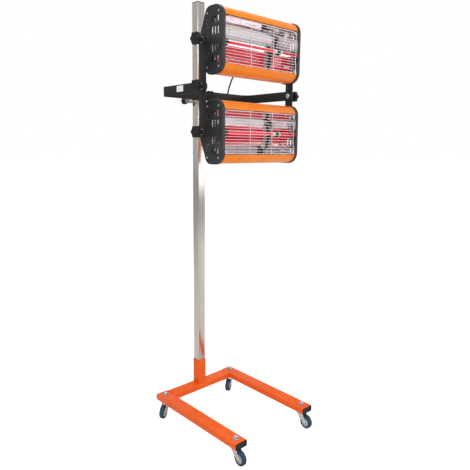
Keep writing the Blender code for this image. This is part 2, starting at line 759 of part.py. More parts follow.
def u_bracket(swing):
    """A flat bar bent to a U in plan, with round arm ends and drilled for its pivots."""
    tip = -ARM_REACH - FLAT_HEIGHT / 2
    inner = ARM_OUTER - FLAT_THICKNESS
    path = [(-ARM_OUTER, tip), (-inner, tip), (-inner, -STRIP_FRONT), (inner, -STRIP_FRONT),
            (inner, tip), (ARM_OUTER, tip), (ARM_OUTER, -STRIP_BACK), (-ARM_OUTER, -STRIP_BACK)]
    inside = BEND_RADIUS - FLAT_THICKNESS
    radii = [0.0, 0.0, inside, inside, 0.0, 0.0, BEND_RADIUS, BEND_RADIUS]
    bracket = put("u_bracket", plate(rounded(path, radii), FLAT_HEIGHT), swing, look=BLACK_COAT)
    ends = stadium(2 * ARM_REACH + FLAT_HEIGHT, FLAT_HEIGHT + TOUCH)
    side = [(y, x) for x, y in reversed(ends)]
    hole = circle(PIVOT_BOLT_RADIUS + RUN, (-ARM_REACH, 0.0))
    keep = put("bracket_ends", plate(side, 3 * ARM_OUTER, [hole]), swing, rotation=TO_RIGHT)
    combine(bracket, keep, "INTERSECT")
    drill = cylinder(CENTRE_STUD_RADIUS + RUN, HUB_REACH - OVERRUN, STRIP_FRONT + OVERRUN)
    combine(bracket, put("bracket_drill", drill, swing, rotation=TO_FRONT), "DIFFERENCE")
    seat = inner - TOUCH
    length = KNOB_SEAT + KNOB_BORE_DEPTH - RUN - seat
    bolt = bolt_mesh(PIVOT_BOLT_RADIUS, ARM_BOLT_HEAD_RADIUS, ARM_BOLT_HEAD, length)
    put("left_arm_bolt", bolt.copy(), swing, (-seat, -ARM_REACH, 0.0), TO_LEFT, ZINC)
    put("right_arm_bolt", bolt, swing, (seat, -ARM_REACH, 0.0), TO_RIGHT, ZINC)
    knob_axis = axis_empty("centre_knob_axis", (0.0, -CENTRE_SEAT, 0.0), swing)
    stud = CENTRE_SEAT - POST_WIDTH / 2 - CENTRE_STUD_CLEARANCE
    star_knob("centre_knob", knob_axis, TO_FRONT, CENTRE_STUD_RADIUS, stud, CENTRE_KNOB_NECK)


def side_bars(bars):
    """Two drilled flat bars that carry the heads between them."""
    steps = (-BAR_HEIGHT_STEP, 0.0, BAR_HEIGHT_STEP)
    holes = [circle(PIVOT_BOLT_RADIUS + RUN, (0.0, z)) for z in steps]
    outline = stadium(2 * BAR_HEIGHT_STEP + FLAT_HEIGHT, FLAT_HEIGHT)
    middle = (BAR_INNER + BAR_OUTER) / 2
    for name, x in (("left_bar", -middle), ("right_bar", middle)):
        put(name, plate(outline, FLAT_THICKNESS, holes), bars, (x, 0.0, 0.0), TO_RIGHT, BLACK_COAT)


def side_knobs(carrier, level, stud):
    """The star knobs outside the two bars at one pivot."""
    for side, sign, turn in (("left", -1, TO_LEFT), ("right", 1, TO_RIGHT)):
        name = f"{level}_{side}_knob"
        knob_axis = axis_empty(f"{name}_axis", (sign * KNOB_SEAT, 0.0, 0.0), carrier)
        star_knob(name, knob_axis, turn, PIVOT_BOLT_RADIUS, stud)


# Lamp heads


def head_outline(inset=0.0):
    """The head's outline in (Y, Z): a tall flat front, and a back drawn in to its pivot."""
    half = HEAD_HEIGHT / 2
    corners = [Vector(corner) for corner in (
        (-HEAD_FRONT, -half), (HEAD_TOP_BACK, -half), (HEAD_BACK, -HEAD_BACK_HALF),
        (HEAD_BACK, HEAD_BACK_HALF), (HEAD_TOP_BACK, half), (-HEAD_FRONT, half))]
    radii = [HEAD_FRONT_RADIUS, HEAD_TOP_RADIUS, HEAD_BACK_RADIUS,
             HEAD_BACK_RADIUS, HEAD_TOP_RADIUS, HEAD_FRONT_RADIUS]
    moved = []
    for index, corner in enumerate(corners):
        before = (corner - corners[index - 1]).normalized()
        after = (corners[(index + 1) % len(corners)] - corner).normalized()
        first = Vector((before.y, -before.x))
        second = Vector((after.y, -after.x))
        moved.append(corner - (first + second) * inset / (1 + first.dot(second)))
    return rounded(moved, [radius - inset for radius in radii], HEAD_CORNER_STEPS)


def lip_front():
    """Where the housing's front meets the window's edge, which lies on the front corners' arc."""
    low, high = head_outline(SHELL_INSET)[:2]
    share = (LIP_HALF + low[1]) / (low[1] - high[1])
    return low[0] + (high[0] - low[0]) * share


def vent_mesh():
    """The vertical vent slots of an end cap, each as a block through its face."""
    reach = 2 * CAP_WALL
    rows = [(SLOT_INNER_ROW, SLOT_INNER_LENGTH), (SLOT_OUTER_ROW, SLOT_OUTER_LENGTH)]
    work = bmesh.new()
    for column in range(SLOT_COLUMNS):
        y = column * SLOT_PITCH - SLOT_FIRST
        for row, length in rows:
            for z in (-row, row):
                slot = plate(stadium(length, SLOT_WIDTH, (y, z), SLOT_STEPS), 2 * reach)
                work.from_mesh(slot)
                bpy.data.meshes.remove(slot)
    mesh = bpy.data.meshes.new("vents")
    work.to_mesh(mesh)
    work.free()
    return mesh


def eased(mesh, width, side):
    """Round the rim of a flat piece's face at its own +Z or -Z."""
    work = bmesh.new()
    work.from_mesh(mesh)
    rim = [edge for edge in work.edges if edge.is_manifold and edge.calc_face_angle() > math.pi / 4
           and all(vertex.co.z * side > 0 for vertex in edge.verts)
           and any(abs(face.normal.z) > CORE_SHARE for face in edge.link_faces)]
    bmesh.ops.bevel(work, geom=rim, offset=width, segments=1, profile=CORE_SHARE, affect="EDGES")
    work.to_mesh(mesh)
    work.free()
    return smooth(mesh, 40.0)


def head_caps(tilt, level):
    """The two moulded end caps, hollow towards the housing, with the pivot boss on each."""
    depth = CAP_WIDTH - CAP_WALL
    for side, sign, turn in (("left", -1, TO_LEFT), ("right", 1, TO_RIGHT)):
        name = f"{level}_head_{side}_cap"
        body = eased(plate(head_outline(), CAP_WIDTH), CAP_EDGE, sign)
        cap = put(name, body, tilt, (sign * (CAP_INNER + CAP_WIDTH / 2), 0.0, 0.0), TO_RIGHT, BLACK_PLASTIC)
        hollow = plate(head_outline(CAP_WALL), 2 * depth)
        room = put(f"{name}_room", hollow, tilt, (sign * CAP_INNER, 0.0, 0.0), TO_RIGHT)
        combine(cap, room, "DIFFERENCE")
        face = (sign * HEAD_LENGTH / 2, 0.0, 0.0)
        combine(cap, put(f"{name}_vents", vent_mesh(), tilt, face, TO_RIGHT), "DIFFERENCE")
        boss = cylinder(CAP_BOSS_RADIUS, HEAD_LENGTH / 2 - CAP_WALL / 2, BOSS_END, ROUND)
        combine(cap, put(f"{name}_boss", boss, tilt, rotation=turn), "UNION")
        bore = cylinder(PIVOT_BOLT_RADIUS + RUN, BOSS_END - STUD_BITE - RUN, BOSS_END + OVERRUN)
        combine(cap, put(f"{name}_bore", bore, tilt, rotation=turn), "DIFFERENCE")


def sheet_mesh(profile, length, thickness):
    """A sheet bent to an open profile in (Y, Z) and run along X, thicker inwards if below zero."""
    mesh = bpy.data.meshes.new("sheet")
    count = len(profile)
    points = [(x, y, z) for x in (-length / 2, length / 2) for y, z in profile]
    faces = [(i, i + 1, count + i + 1, count + i) for i in range(count - 1)]
    mesh.from_pydata(points, [], faces)
    item = bpy.data.objects.new("sheet", mesh)
    bpy.context.scene.collection.objects.link(item)
    skin = item.modifiers.new("skin", "SOLIDIFY")
    skin.thickness = abs(thickness)
    skin.offset = math.copysign(1.0, thickness)
    skin.use_even_offset = True
    return smooth(cleaned(taken(item)))


def housing(tilt, level):
    """The bent shell, open at the front between two lips that return into the window."""
    front = lip_front()
    back = front + LIP_RETURN
    profile = [(back, -LIP_HALF), (front, -LIP_HALF), *head_outline(SHELL_INSET)[1:-1],
               (front, LIP_HALF), (back, LIP_HALF)]
    length = HEAD_LENGTH - 2 * SHELL_INSET
    put(f"{level}_head_housing", sheet_mesh(profile, length, -SHELL_WALL), tilt, look=HEAD_ORANGE)


def trough_profile():
    """The reflector's bent sheet in (Y, Z): a parabola that starts behind the window's lips."""
    start = lip_front() + LIP_RETURN + TOUCH
    points = []
    for fold in range(TROUGH_FOLDS + 1):
        share = 2 * fold / TROUGH_FOLDS - 1
        y = TROUGH_BOTTOM + (start - TROUGH_BOTTOM) * share * share
        points.append((y, share * LIP_HALF))
    return points


def reflector(tilt, level):
    """The polished trough with a polished plate across each end, up to the window."""
    profile = trough_profile()
    name = f"{level}_head_reflector"
    trough = put(name, sheet_mesh(profile, TROUGH_LENGTH, TROUGH_SKIN), tilt, look=MIRROR)
    edge = LIP_HALF - TOUCH
    front = lip_front() + TOUCH
    back = front + LIP_RETURN
    outline = [(front, -edge), (back, -edge), *profile[1:-1], (back, edge), (front, edge)]
    for side, sign in (("left", -1), ("right", 1)):
        place = (sign * (TROUGH_LENGTH - TROUGH_SKIN) / 2, 0.0, 0.0)
        end = put(f"{name}_{side}_end", plate(outline, TROUGH_SKIN), tilt, place, TO_RIGHT)
        combine(trough, end, "UNION")


def heating_tube(tilt, level):
    """The quartz tube with its ceramic ends, and the clips that hold them to the reflector."""
    place = (TUBE_OFFSET, -TUBE_DEPTH, 0.0)
    low = TUBE_LENGTH / 2
    high = low + CERAMIC_LENGTH
    ease = CERAMIC_RADIUS * EASE_SHARE
    upper = [(0.0, high), (CERAMIC_RADIUS - ease, high), (CERAMIC_RADIUS, high - ease),
             (CERAMIC_RADIUS, low + ease), (CERAMIC_RADIUS - ease, low), (TUBE_RADIUS, low)]
    lower = [(radius, -height) for radius, height in reversed(upper)]
    put(f"{level}_head_quartz_tube", turned(upper + lower, SMALL_ROUND), tilt, place, TO_RIGHT, RUBY)
    foot_end = trough_profile()[TROUGH_FOLDS // 2][0] - TOUCH
    foot_start = CERAMIC_RADIUS - TUBE_DEPTH + TOUCH
    foot = box(CLIP_WIDTH, foot_end - foot_start, CLIP_FOOT)
    for side, sign in (("left", -1), ("right", 1)):
        name = f"{level}_head_{side}_tube_clip"
        x = TUBE_OFFSET + sign * (low + high) / 2
        centre = (x, -TUBE_DEPTH, 0.0)
        ring = plate(circle(CLIP_RADIUS), CLIP_WIDTH)
        clip = put(name, ring, tilt, centre, TO_RIGHT, BLACK_COAT)
        leg = put(f"{name}_foot", foot.copy(), tilt, (x, (foot_start + foot_end) / 2, 0.0))
        combine(clip, leg, "UNION")
        hole = cylinder(CERAMIC_RADIUS + TOUCH, -CLIP_WIDTH, CLIP_WIDTH)
        combine(clip, put(f"{name}_hole", hole, tilt, centre, TO_RIGHT), "DIFFERENCE")


def wires(lines, radius):
    """Straight wires that don't touch one another, as one mesh."""
    work = bmesh.new()
    for start, end in lines:
        line = wire([start, end], radius)
        work.from_mesh(line)
        bpy.data.meshes.remove(line)
    mesh = bpy.data.meshes.new("wires")
    work.to_mesh(mesh)
    work.free()
    return smooth(mesh, 75.0)


def guard(tilt, level):
    """The welded wire guard: a rounded loop, two posts to the lips and the rows across them."""
    name = f"{level}_head_guard"
    place = (0.0, -GUARD_DEPTH, 0.0)
    half = HEAD_LENGTH / 2 - GUARD_INSET
    path = rectangle(2 * half, 2 * GUARD_HALF_HEIGHT, GUARD_CORNER, HEAD_CORNER_STEPS)
    loop = wire([(x, 0.0, z) for x, z in path], GUARD_LOOP_WIRE, closed=True)
    cage = put(name, loop, tilt, place, look=STAINLESS)
    reach = LIP_HALF - TOUCH
    posts = []
    for number in range(GUARD_POSTS):
        x = (2 * number - (GUARD_POSTS - 1)) * GUARD_POST_SHARE * half
        posts.append(((x, 0.0, -reach), (x, 0.0, reach)))
    combine(cage, put(f"{name}_posts", wires(posts, GUARD_WIRE), tilt, place), "UNION")
    y = GUARD_BITE - GUARD_LOOP_WIRE - GUARD_WIRE
    rows = []
    for number in range(GUARD_ROWS):
        z = GUARD_HALF_HEIGHT * (2 * (number + 1) / (GUARD_ROWS + 1) - 1)
        into_corner = max(0.0, GUARD_CORNER - GUARD_HALF_HEIGHT + abs(z))
        reach = half - GUARD_CORNER + math.sqrt(GUARD_CORNER ** 2 - into_corner ** 2)
        rows.append(((-reach, y, z), (reach, y, z)))
    combine(cage, put(f"{name}_rows", wires(rows, GUARD_WIRE), tilt, place), "UNION")


def gland(tilt, level, x, side):
    """A cable gland on a slanted back face, and the place and way in which the lead leaves it."""
    name = f"{level}_head_gland"
    corner = Vector((x, HEAD_TOP_BACK, side * HEAD_HEIGHT / 2))
    end = Vector((x, HEAD_BACK, side * HEAD_BACK_HALF))
    along = (end - corner).normalized()
    outward = Vector((0.0, abs(along.z), side * abs(along.y)))
    place = (corner + end) / 2 - outward * CAP_WALL
    base = plate(circle(GLAND_BASE_RADIUS, steps=6), GLAND_BASE)
    ease = GLAND_RADIUS * EASE_SHARE
    nut = turned([
        (0.0, GLAND_LENGTH),
        (GLAND_RADIUS - 2 * ease, GLAND_LENGTH),
        (GLAND_RADIUS, GLAND_LENGTH - 2 * ease),
        (GLAND_RADIUS, GLAND_BASE / 2),
        (0.0, GLAND_BASE / 2),
    ], SMALL_ROUND)
    turn = outward.to_track_quat("Z", "X").to_euler()
    body = put(name, raised(base, GLAND_BASE / 2), tilt, place, turn, BLACK_PLASTIC)
    combine(body, put(f"{name}_nut", nut, tilt, place, turn), "UNION")
    return place + outward * (GLAND_LENGTH + TOUCH), outward


def lead(bars, start, start_way, end, end_way):
    """The lead from one head's gland to the other's, hanging in a loose bow behind them."""
    leave = start + start_way * LEAD_STRAIGHT
    arrive = end + end_way * LEAD_STRAIGHT
    first = leave + start_way * LEAD_SLACK
    second = arrive + end_way * LEAD_SLACK
    samples = round((end - start).length / LEAD_STEP)
    points = [start]
    for step in range(samples + 1):
        t = step / samples
        u = 1 - t
        points.append(leave * u ** 3 + first * 3 * u * u * t + second * 3 * u * t * t + arrive * t ** 3)
    points.append(end)
    put("heads_lead", wire(points, LEAD_RADIUS, resolution=2), bars, look=LEAD_BLACK)


def lamp_head(bars, level, height, gland_x, gland_side):
    """One lamp head about its own tilt axis, and where its gland lets the lead out."""
    tilt = axis_empty(f"{level}_head_tilt", (0.0, 0.0, height), bars)
    head_caps(tilt, level)
    housing(tilt, level)
    reflector(tilt, level)
    heating_tube(tilt, level)
    guard(tilt, level)
    side_knobs(tilt, level, KNOB_SEAT - BOSS_END + STUD_BITE)
    mouth, way = gland(tilt, level, gland_x, gland_side)
    return mouth + Vector((0.0, 0.0, height)), way


def build():
    """The whole lamp."""
    root = axis_empty("post_axis", (0.0, POST_Y, 0.0))
    base_frame(root)
    end_plugs(root)
    post_and_socket(root)
    casters(root)
    slider = axis_empty("height_slide", (0.0, 0.0, AXIS_HEIGHT), root)
    collar(slider)
    swing = axis_empty("bracket_turn", HERE, slider)
    u_bracket(swing)
    bars = axis_empty("pair_tilt", (0.0, -ARM_REACH, 0.0), swing)
    side_bars(bars)
    side_knobs(bars, "middle", 0.0)
    start, start_way = lamp_head(bars, "upper", BAR_HEIGHT_STEP, UPPER_GLAND_X, -1)
    end, end_way = lamp_head(bars, "lower", -BAR_HEIGHT_STEP, LOWER_GLAND_X, 1)
    lead(bars, start, start_way, end, end_way)
    bpy.context.view_layer.update()


build()
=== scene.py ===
"""Infrared lamp dressed as its photograph shows it: finishes, detailed pieces, floor, light and camera."""

import json
import math

import bmesh
import bpy
from mathutils import Euler, Matrix, Vector

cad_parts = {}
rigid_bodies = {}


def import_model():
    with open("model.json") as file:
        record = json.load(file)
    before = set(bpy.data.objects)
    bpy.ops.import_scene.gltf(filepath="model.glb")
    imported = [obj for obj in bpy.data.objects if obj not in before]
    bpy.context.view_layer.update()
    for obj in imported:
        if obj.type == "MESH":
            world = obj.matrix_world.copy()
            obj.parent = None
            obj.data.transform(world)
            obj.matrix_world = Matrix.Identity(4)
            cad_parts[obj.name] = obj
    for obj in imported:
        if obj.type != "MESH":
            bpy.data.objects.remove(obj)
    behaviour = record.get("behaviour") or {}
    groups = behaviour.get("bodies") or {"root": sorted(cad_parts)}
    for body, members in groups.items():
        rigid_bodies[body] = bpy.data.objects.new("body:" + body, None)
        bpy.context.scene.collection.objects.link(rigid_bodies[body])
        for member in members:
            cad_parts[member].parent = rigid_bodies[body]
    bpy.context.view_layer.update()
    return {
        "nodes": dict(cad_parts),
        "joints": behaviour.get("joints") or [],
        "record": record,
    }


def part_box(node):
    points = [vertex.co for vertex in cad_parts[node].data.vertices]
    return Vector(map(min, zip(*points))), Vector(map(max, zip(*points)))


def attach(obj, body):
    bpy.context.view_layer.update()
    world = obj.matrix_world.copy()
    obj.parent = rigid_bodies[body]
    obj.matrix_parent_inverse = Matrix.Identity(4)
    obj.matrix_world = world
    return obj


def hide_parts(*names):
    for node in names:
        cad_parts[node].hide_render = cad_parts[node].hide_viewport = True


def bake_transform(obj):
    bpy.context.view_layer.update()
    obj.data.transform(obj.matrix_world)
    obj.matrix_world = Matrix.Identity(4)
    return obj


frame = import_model()

# The post's middle and the bracket's height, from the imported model
post_low, post_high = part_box("post")
bracket_low, bracket_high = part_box("u_bracket")
POST_Y = (post_low.y + post_high.y) / 2
AXIS = (bracket_low.z + bracket_high.z) / 2
BAR_HALF = (bracket_high.z - bracket_low.z) / 2
BASE_TOP = 0.099
# All tilts turn on lines at PIVOT_Y, and a head's is BAR_STEP above or below the bracket
PIVOT_Y = POST_Y - 0.3237
BAR_STEP = 0.164
# Where knobs and bolts sit: out at the sides, in front of the post, and at the collar's ears
KNOB_SEAT = 0.2423
CENTRE_SEAT = 0.0661
COLLAR_SEAT = (post_high.y - post_low.y) / 2 + 0.0033
EAR_X, EAR_Z = -0.04, AXIS - 0.016
SOCKET_BOLT_Z = BASE_TOP + 0.085
# Vertices closer than SAME_PLACE are one, tests by place allow for HAIR, and a straight step has NO_WIDTH
SAME_PLACE = 0.00001
HAIR = 0.0001
NO_WIDTH = 0.00001

# Turns that lay a piece's own Z along one of the lamp's directions
TO_RIGHT = Euler((math.pi / 2, 0.0, math.pi / 2)).to_matrix().to_4x4()
TO_LEFT = Euler((math.pi / 2, 0.0, -math.pi / 2)).to_matrix().to_4x4()
TO_FRONT = Euler((math.pi / 2, 0.0, 0.0)).to_matrix().to_4x4()
TO_BACK = Euler((-math.pi / 2, 0.0, 0.0)).to_matrix().to_4x4()
# The lamp's sides with the sign of their X and the turn outward, and the two heads' heights from the bracket
SIDES = (("left", -1, TO_LEFT), ("right", 1, TO_RIGHT))
LEVELS = (("upper", BAR_STEP), ("lower", -BAR_STEP))


# Materials

# Stretch of a pattern that is the same all ways, and of one drawn out along the head's sheet
EVEN = (1.0, 1.0, 1.0)
ALONG_SHEET = (0.03, 1.0, 1.0)
# Nearly all of the noise lies between these two values
NOISE_LOW, NOISE_HIGH = 0.3, 0.7


def linear(code):
    """An sRGB hex colour as a linear one."""
    parts = [int(code[place:place + 2], 16) / 255 for place in (1, 3, 5)]
    return [((c + 0.055) / 1.055) ** 2.4 if c > 0.04045 else c / 12.92 for c in parts] + [1.0]


def add(tree, kind, inputs=None, **settings):
    """A node with its settings, where each input is a value or another node's output."""
    made = tree.nodes.new(kind)
    for key, value in settings.items():
        setattr(made, key, value)
    for socket, value in (inputs or {}).items():
        if isinstance(value, bpy.types.NodeSocket):
            tree.links.new(value, made.inputs[socket])
        else:
            made.inputs[socket].default_value = value
    return made


def surface(name, **sockets):
    """A Principled material with its plain sockets set, its tree and its Object coordinates."""
    material = bpy.data.materials.new(name)
    material.use_nodes = True
    tree = material.node_tree
    shader = tree.nodes["Principled BSDF"]
    for socket, value in sockets.items():
        shader.inputs[socket.replace("_", " ")].default_value = value
    return material, tree, shader, add(tree, "ShaderNodeTexCoord").outputs["Object"]


def cloud(tree, place, spacing, detail, stretch):
    """Soft noise whose patches have a size in metres."""
    laid = add(tree, "ShaderNodeMapping", {"Vector": place, "Scale": stretch})
    return add(tree, "ShaderNodeTexNoise", {
        "Vector": laid.outputs["Vector"], "Scale": 1 / spacing, "Detail": detail}).outputs["Fac"]


def tones(tree, shader, place, dark, light, spacing, stretch=EVEN):
    """Colour that wanders between two tones over patches of a size in metres."""
    ramp = add(tree, "ShaderNodeValToRGB", {"Fac": cloud(tree, place, spacing, 5.0, stretch)})
    first, last = ramp.color_ramp.elements
    first.position, first.color = NOISE_LOW, linear(dark)
    last.position, last.color = NOISE_HIGH, linear(light)
    tree.links.new(ramp.outputs["Color"], shader.inputs["Base Color"])


def gloss(tree, shader, place, least, most, spacing, stretch=EVEN):
    """Roughness that wanders between two values over patches of a size in metres."""
    spread = add(tree, "ShaderNodeMapRange", {
        "Value": cloud(tree, place, spacing, 3.0, stretch),
        "From Min": NOISE_LOW, "From Max": NOISE_HIGH, "To Min": least, "To Max": most})
    tree.links.new(spread.outputs["Result"], shader.inputs["Roughness"])


def relief(tree, shader, place, spacing, height, stretch=EVEN):
    """Bumps of a spacing and a height in metres, on top of those that are there already."""
    bump = add(tree, "ShaderNodeBump", {
        "Height": cloud(tree, place, spacing, 2.0, stretch), "Distance": height, "Strength": 1.0})
    for link in shader.inputs["Normal"].links:
        tree.links.new(link.from_socket, bump.inputs["Normal"])
    tree.links.new(bump.outputs["Normal"], shader.inputs["Normal"])


def coat(name, dark, light, least, most, spacing, height):
    """A sprayed coat, a moulding or a rubber: even colour, a soft gloss and a fine relief."""
    material, tree, shader, place = surface(name, IOR=1.45, Specular_IOR_Level=0.32)
    tones(tree, shader, place, dark, light, 0.07)
    gloss(tree, shader, place, least, most, 0.02)
    relief(tree, shader, place, spacing, height)
    return material


def metal(name, dark, light, least, most, patch, spacing, height, stretch=EVEN):
    """Bare or plated metal whose tone and gloss follow the way it was rolled, ground or plated."""
    material, tree, shader, place = surface(name, Metallic=1.0)
    tones(tree, shader, place, dark, light, patch, stretch)
    gloss(tree, shader, place, least, most, patch, stretch)
    relief(tree, shader, place, spacing, height, stretch)
    return material


# Polyester powder on the base: saturated, with a peel of about 1.5 mm, drawn at 4 mm so that it shows
ORANGE_POWDER = coat("orange_powder_coat", "#E9570C", "#F16514", 0.34, 0.46, 0.004, 0.00006)
# Stoved lacquer on the heads' sheet: yellower and smoother than the base's powder
AMBER_LACQUER = coat("amber_lacquer", "#F07C17", "#F68B28", 0.26, 0.36, 0.006, 0.00004)
# Fine-textured black powder on the flat bars: a dull, slightly sparkling black
BLACK_POWDER = coat("black_powder_coat", "#1C1C1D", "#262627", 0.42, 0.56, 0.0016, 0.00008)
# Injection-moulded ABS of the end caps: satin with an even spark-eroded grain
BLACK_ABS = coat("black_abs", "#2B2C2E", "#37383A", 0.38, 0.48, 0.0012, 0.00004)
# Glass-filled nylon of the knobs and plugs: duller than the ABS, mottled by its fibres
BLACK_NYLON = coat("black_nylon", "#131314", "#1C1C1E", 0.4, 0.54, 0.002, 0.00005)
# PVC sheath of the lead: smooth, a little waxy
BLACK_PVC = coat("black_pvc", "#161617", "#1E1E20", 0.38, 0.5, 0.003, 0.00003)
# Polished stainless post: drawn lines run up it, 1 mm apart as they need to be to show
STAINLESS = metal(
    "polished_stainless", "#BDB6AF", "#D8D2CB", 0.14, 0.28, 0.012, 0.001, 0.000006, (1.0, 1.0, 0.03))
# Bright zinc plate on fasteners, forks and the collar: faint blue-white clouds
ZINC_PLATE = metal("zinc_plate", "#B4B8BD", "#D5D7DA", 0.22, 0.38, 0.009, 0.002, 0.00001)
# Drawn steel wire of the guards, nickel plated
GUARD_NICKEL = metal("nickel_plated_wire", "#DAD5D3", "#ECE8E6", 0.34, 0.46, 0.01, 0.003, 0.000004)


def rolled_mirror():
    """Bright-rolled aluminium of the troughs: a mirror with faint lines along it, which waves a little."""
    material, tree, shader, place = surface("bright_rolled_aluminium", Metallic=1.0)
    tones(tree, shader, place, "#D3C8CC", "#E4DBDF", 0.006, ALONG_SHEET)
    gloss(tree, shader, place, 0.04, 0.11, 0.006, ALONG_SHEET)
    relief(tree, shader, place, 0.003, 0.00002, ALONG_SHEET)
    relief(tree, shader, place, 0.075, 0.0012, (0.45, 1.0, 1.0))
    return material


ROLLED_MIRROR = rolled_mirror()
# Tungsten of the filament
TUNGSTEN = metal("tungsten", "#6E6862", "#8C867E", 0.35, 0.5, 0.002, 0.001, 0.000005)
# Wheel centres: pale polypropylene
PALE_POLYPROPYLENE = coat("pale_polypropylene", "#B4B9BA", "#C6C9C9", 0.36, 0.48, 0.003, 0.00003)
# Thermoplastic rubber of the treads: slate blue, dulled by a fine grain
SLATE_RUBBER = coat("slate_rubber", "#20394E", "#324F67", 0.56, 0.7, 0.0018, 0.00008)
# Glazed steatite of the tube's ends
STEATITE = coat("steatite_ceramic", "#E9E6DF", "#F6F4EF", 0.25, 0.4, 0.002, 0.00002)
# Blank polyester label stock, its print left out
LABEL_STOCK = coat("white_label_stock", "#ECEBE9", "#F6F5F3", 0.35, 0.45, 0.004, 0.00001)


def ruby_quartz():
    """Ruby-coated quartz: clear gloss, deep red in soft streaks, and a faint painted red glow that stands in for
    light the trough throws back into the unlit tube.
    """
    # The emission is painted light: the tube is no lamp, yet it glows faintly red.
    material, tree, shader, place = surface(
        "ruby_quartz_with_painted_glow", IOR=1.46, Transmission_Weight=0.35,
        Emission_Color=linear("#F01838"), Emission_Strength=0.34)
    tones(tree, shader, place, "#CC0D28", "#F22C4A", 0.004, (0.05, 1.0, 1.0))
    gloss(tree, shader, place, 0.02, 0.06, 0.02)
    relief(tree, shader, place, 0.008, 0.00001)
    return material


RUBY_QUARTZ = ruby_quartz()


# Modelling


def object_mode():
    """Leave edit mode with nothing selected."""
    active = bpy.context.view_layer.objects.active
    if active and active.mode != "OBJECT":
        bpy.ops.object.mode_set(mode="OBJECT")
    for item in bpy.context.view_layer.objects:
        item.select_set(False)


def choose(piece):
    """Select one piece and make it active."""
    object_mode()
    piece.select_set(True)
    bpy.context.view_layer.objects.active = piece


def settled(name):
    """Name the primitive that was just added, and apply its place, turn and size."""
    piece = bpy.context.view_layer.objects.active
    piece.name = name
    bpy.ops.object.transform_apply(location=True, rotation=True, scale=True)
    return piece


def block(name, low, high):
    """A box between two corners."""
    object_mode()
    low, high = Vector(low), Vector(high)
    bpy.ops.mesh.primitive_cube_add(size=1.0, location=(low + high) / 2, scale=high - low)
    return settled(name)


def rod(name, radius, start, end, sides=32, tip=None):
    """A round bar, or a taper to another radius, between two points."""
    object_mode()
    start, end = Vector(start), Vector(end)
    turn = (end - start).to_track_quat("Z", "Y").to_euler()
    bpy.ops.mesh.primitive_cone_add(
        vertices=sides, radius1=radius, radius2=radius if tip is None else tip,
        depth=(end - start).length, location=(start + end) / 2, rotation=turn)
    return settled(name)


def upright(name, radius, low, high, sides=32, tip=None):
    """A round bar, or a taper, up the Z axis between two heights."""
    return rod(name, radius, (0.0, 0.0, low), (0.0, 0.0, high), sides, tip)


def pick(piece, kind, test):
    """Open a piece in edit mode with only the vertices, edges or faces that pass a test selected."""
    if piece.mode != "EDIT":
        choose(piece)
        bpy.ops.object.mode_set(mode="EDIT")
    bpy.ops.mesh.select_mode(type=kind)
    bpy.ops.mesh.select_all(action="DESELECT")
    work = bmesh.from_edit_mesh(piece.data)
    for item in {"VERT": work.verts, "EDGE": work.edges, "FACE": work.faces}[kind]:
        if test(item):
            item.select_set(True)
    work.select_flush_mode()
    bmesh.update_edit_mesh(piece.data)


def tidy_surface(piece):
    """Merge the vertices of a piece that lie at one place, and turn its faces outward."""
    pick(piece, "VERT", lambda vertex: True)
    bpy.ops.mesh.remove_doubles(threshold=SAME_PLACE)
    bpy.ops.mesh.normals_make_consistent(inside=False)


def draw_in(width, depth=0.0, each=False):
    """Draw the selected faces in by a width, and move them by a depth, minus being inward."""
    bpy.ops.mesh.inset(thickness=width, depth=depth, use_individual=each)


def carry(*move):
    """Extrude what is selected by a move."""
    bpy.ops.mesh.extrude_region_move(TRANSFORM_OT_translate={"value": move})


def middle(edge):
    """The middle of an edge."""
    return (edge.verts[0].co + edge.verts[1].co) / 2


def runs(edge, axis):
    """True where an edge runs along X, Y or Z, given as 0, 1 or 2."""
    way = edge.verts[1].co - edge.verts[0].co
    return abs(way[axis]) > 0.999 * way.length


def round_edges(piece, radius, test, steps=6):
    """Round the edges that pass a test."""
    pick(piece, "EDGE", test)
    bpy.ops.mesh.bevel(offset=radius, segments=steps, profile=0.5, affect="EDGES", clamp_overlap=False)


def soften(piece, width=0.0006, steps=2, limit=35.0):
    """Round the sharp edges a little with an applied bevel, and shade the piece smooth between them."""
    choose(piece)
    if width:
        bevel = piece.modifiers.new("edges", "BEVEL")
        bevel.width = width
        bevel.segments = steps
        bevel.limit_method = "ANGLE"
        bevel.angle_limit = math.radians(limit)
        bpy.ops.object.modifier_apply(modifier="edges")
    bpy.ops.object.shade_smooth_by_angle(angle=math.radians(limit))
    return piece


def thicken(piece, thickness):
    """Give a bent sheet its thickness behind its faces, and apply that."""
    object_mode()
    skin = piece.modifiers.new("skin", "SOLIDIFY")
    skin.thickness = thickness
    skin.offset = -1.0
    choose(piece)
    bpy.ops.object.modifier_apply(modifier="skin")


def change(piece, tool, operation="DIFFERENCE"):
    """Cut a piece with a tool, or join the tool to it, and apply that."""
    object_mode()
    cutter = piece.modifiers.new("cut", "BOOLEAN")
    cutter.operation = operation
    cutter.solver = "EXACT"
    cutter.object = tool
    choose(piece)
    bpy.ops.object.modifier_apply(modifier="cut")
    bpy.data.objects.remove(tool, do_unlink=True)
    return piece


def joined(name, pieces):
    """Several shapes as one piece."""
    object_mode()
    for item in pieces:
        item.select_set(True)
    bpy.context.view_layer.objects.active = pieces[0]
    if len(pieces) > 1:
        bpy.ops.object.join()
    pieces[0].name = name
    return pieces[0]


def copied(pattern, name, matrix=None):
    """A copy of a modelled pattern with its own mesh, put at its place."""
    piece = pattern.copy()
    piece.data = pattern.data.copy()
    piece.name = name
    bpy.context.scene.collection.objects.link(piece)
    if matrix is not None:
        piece.data.transform(matrix)
        if matrix.determinant() < 0:
            piece.data.flip_normals()
    return piece


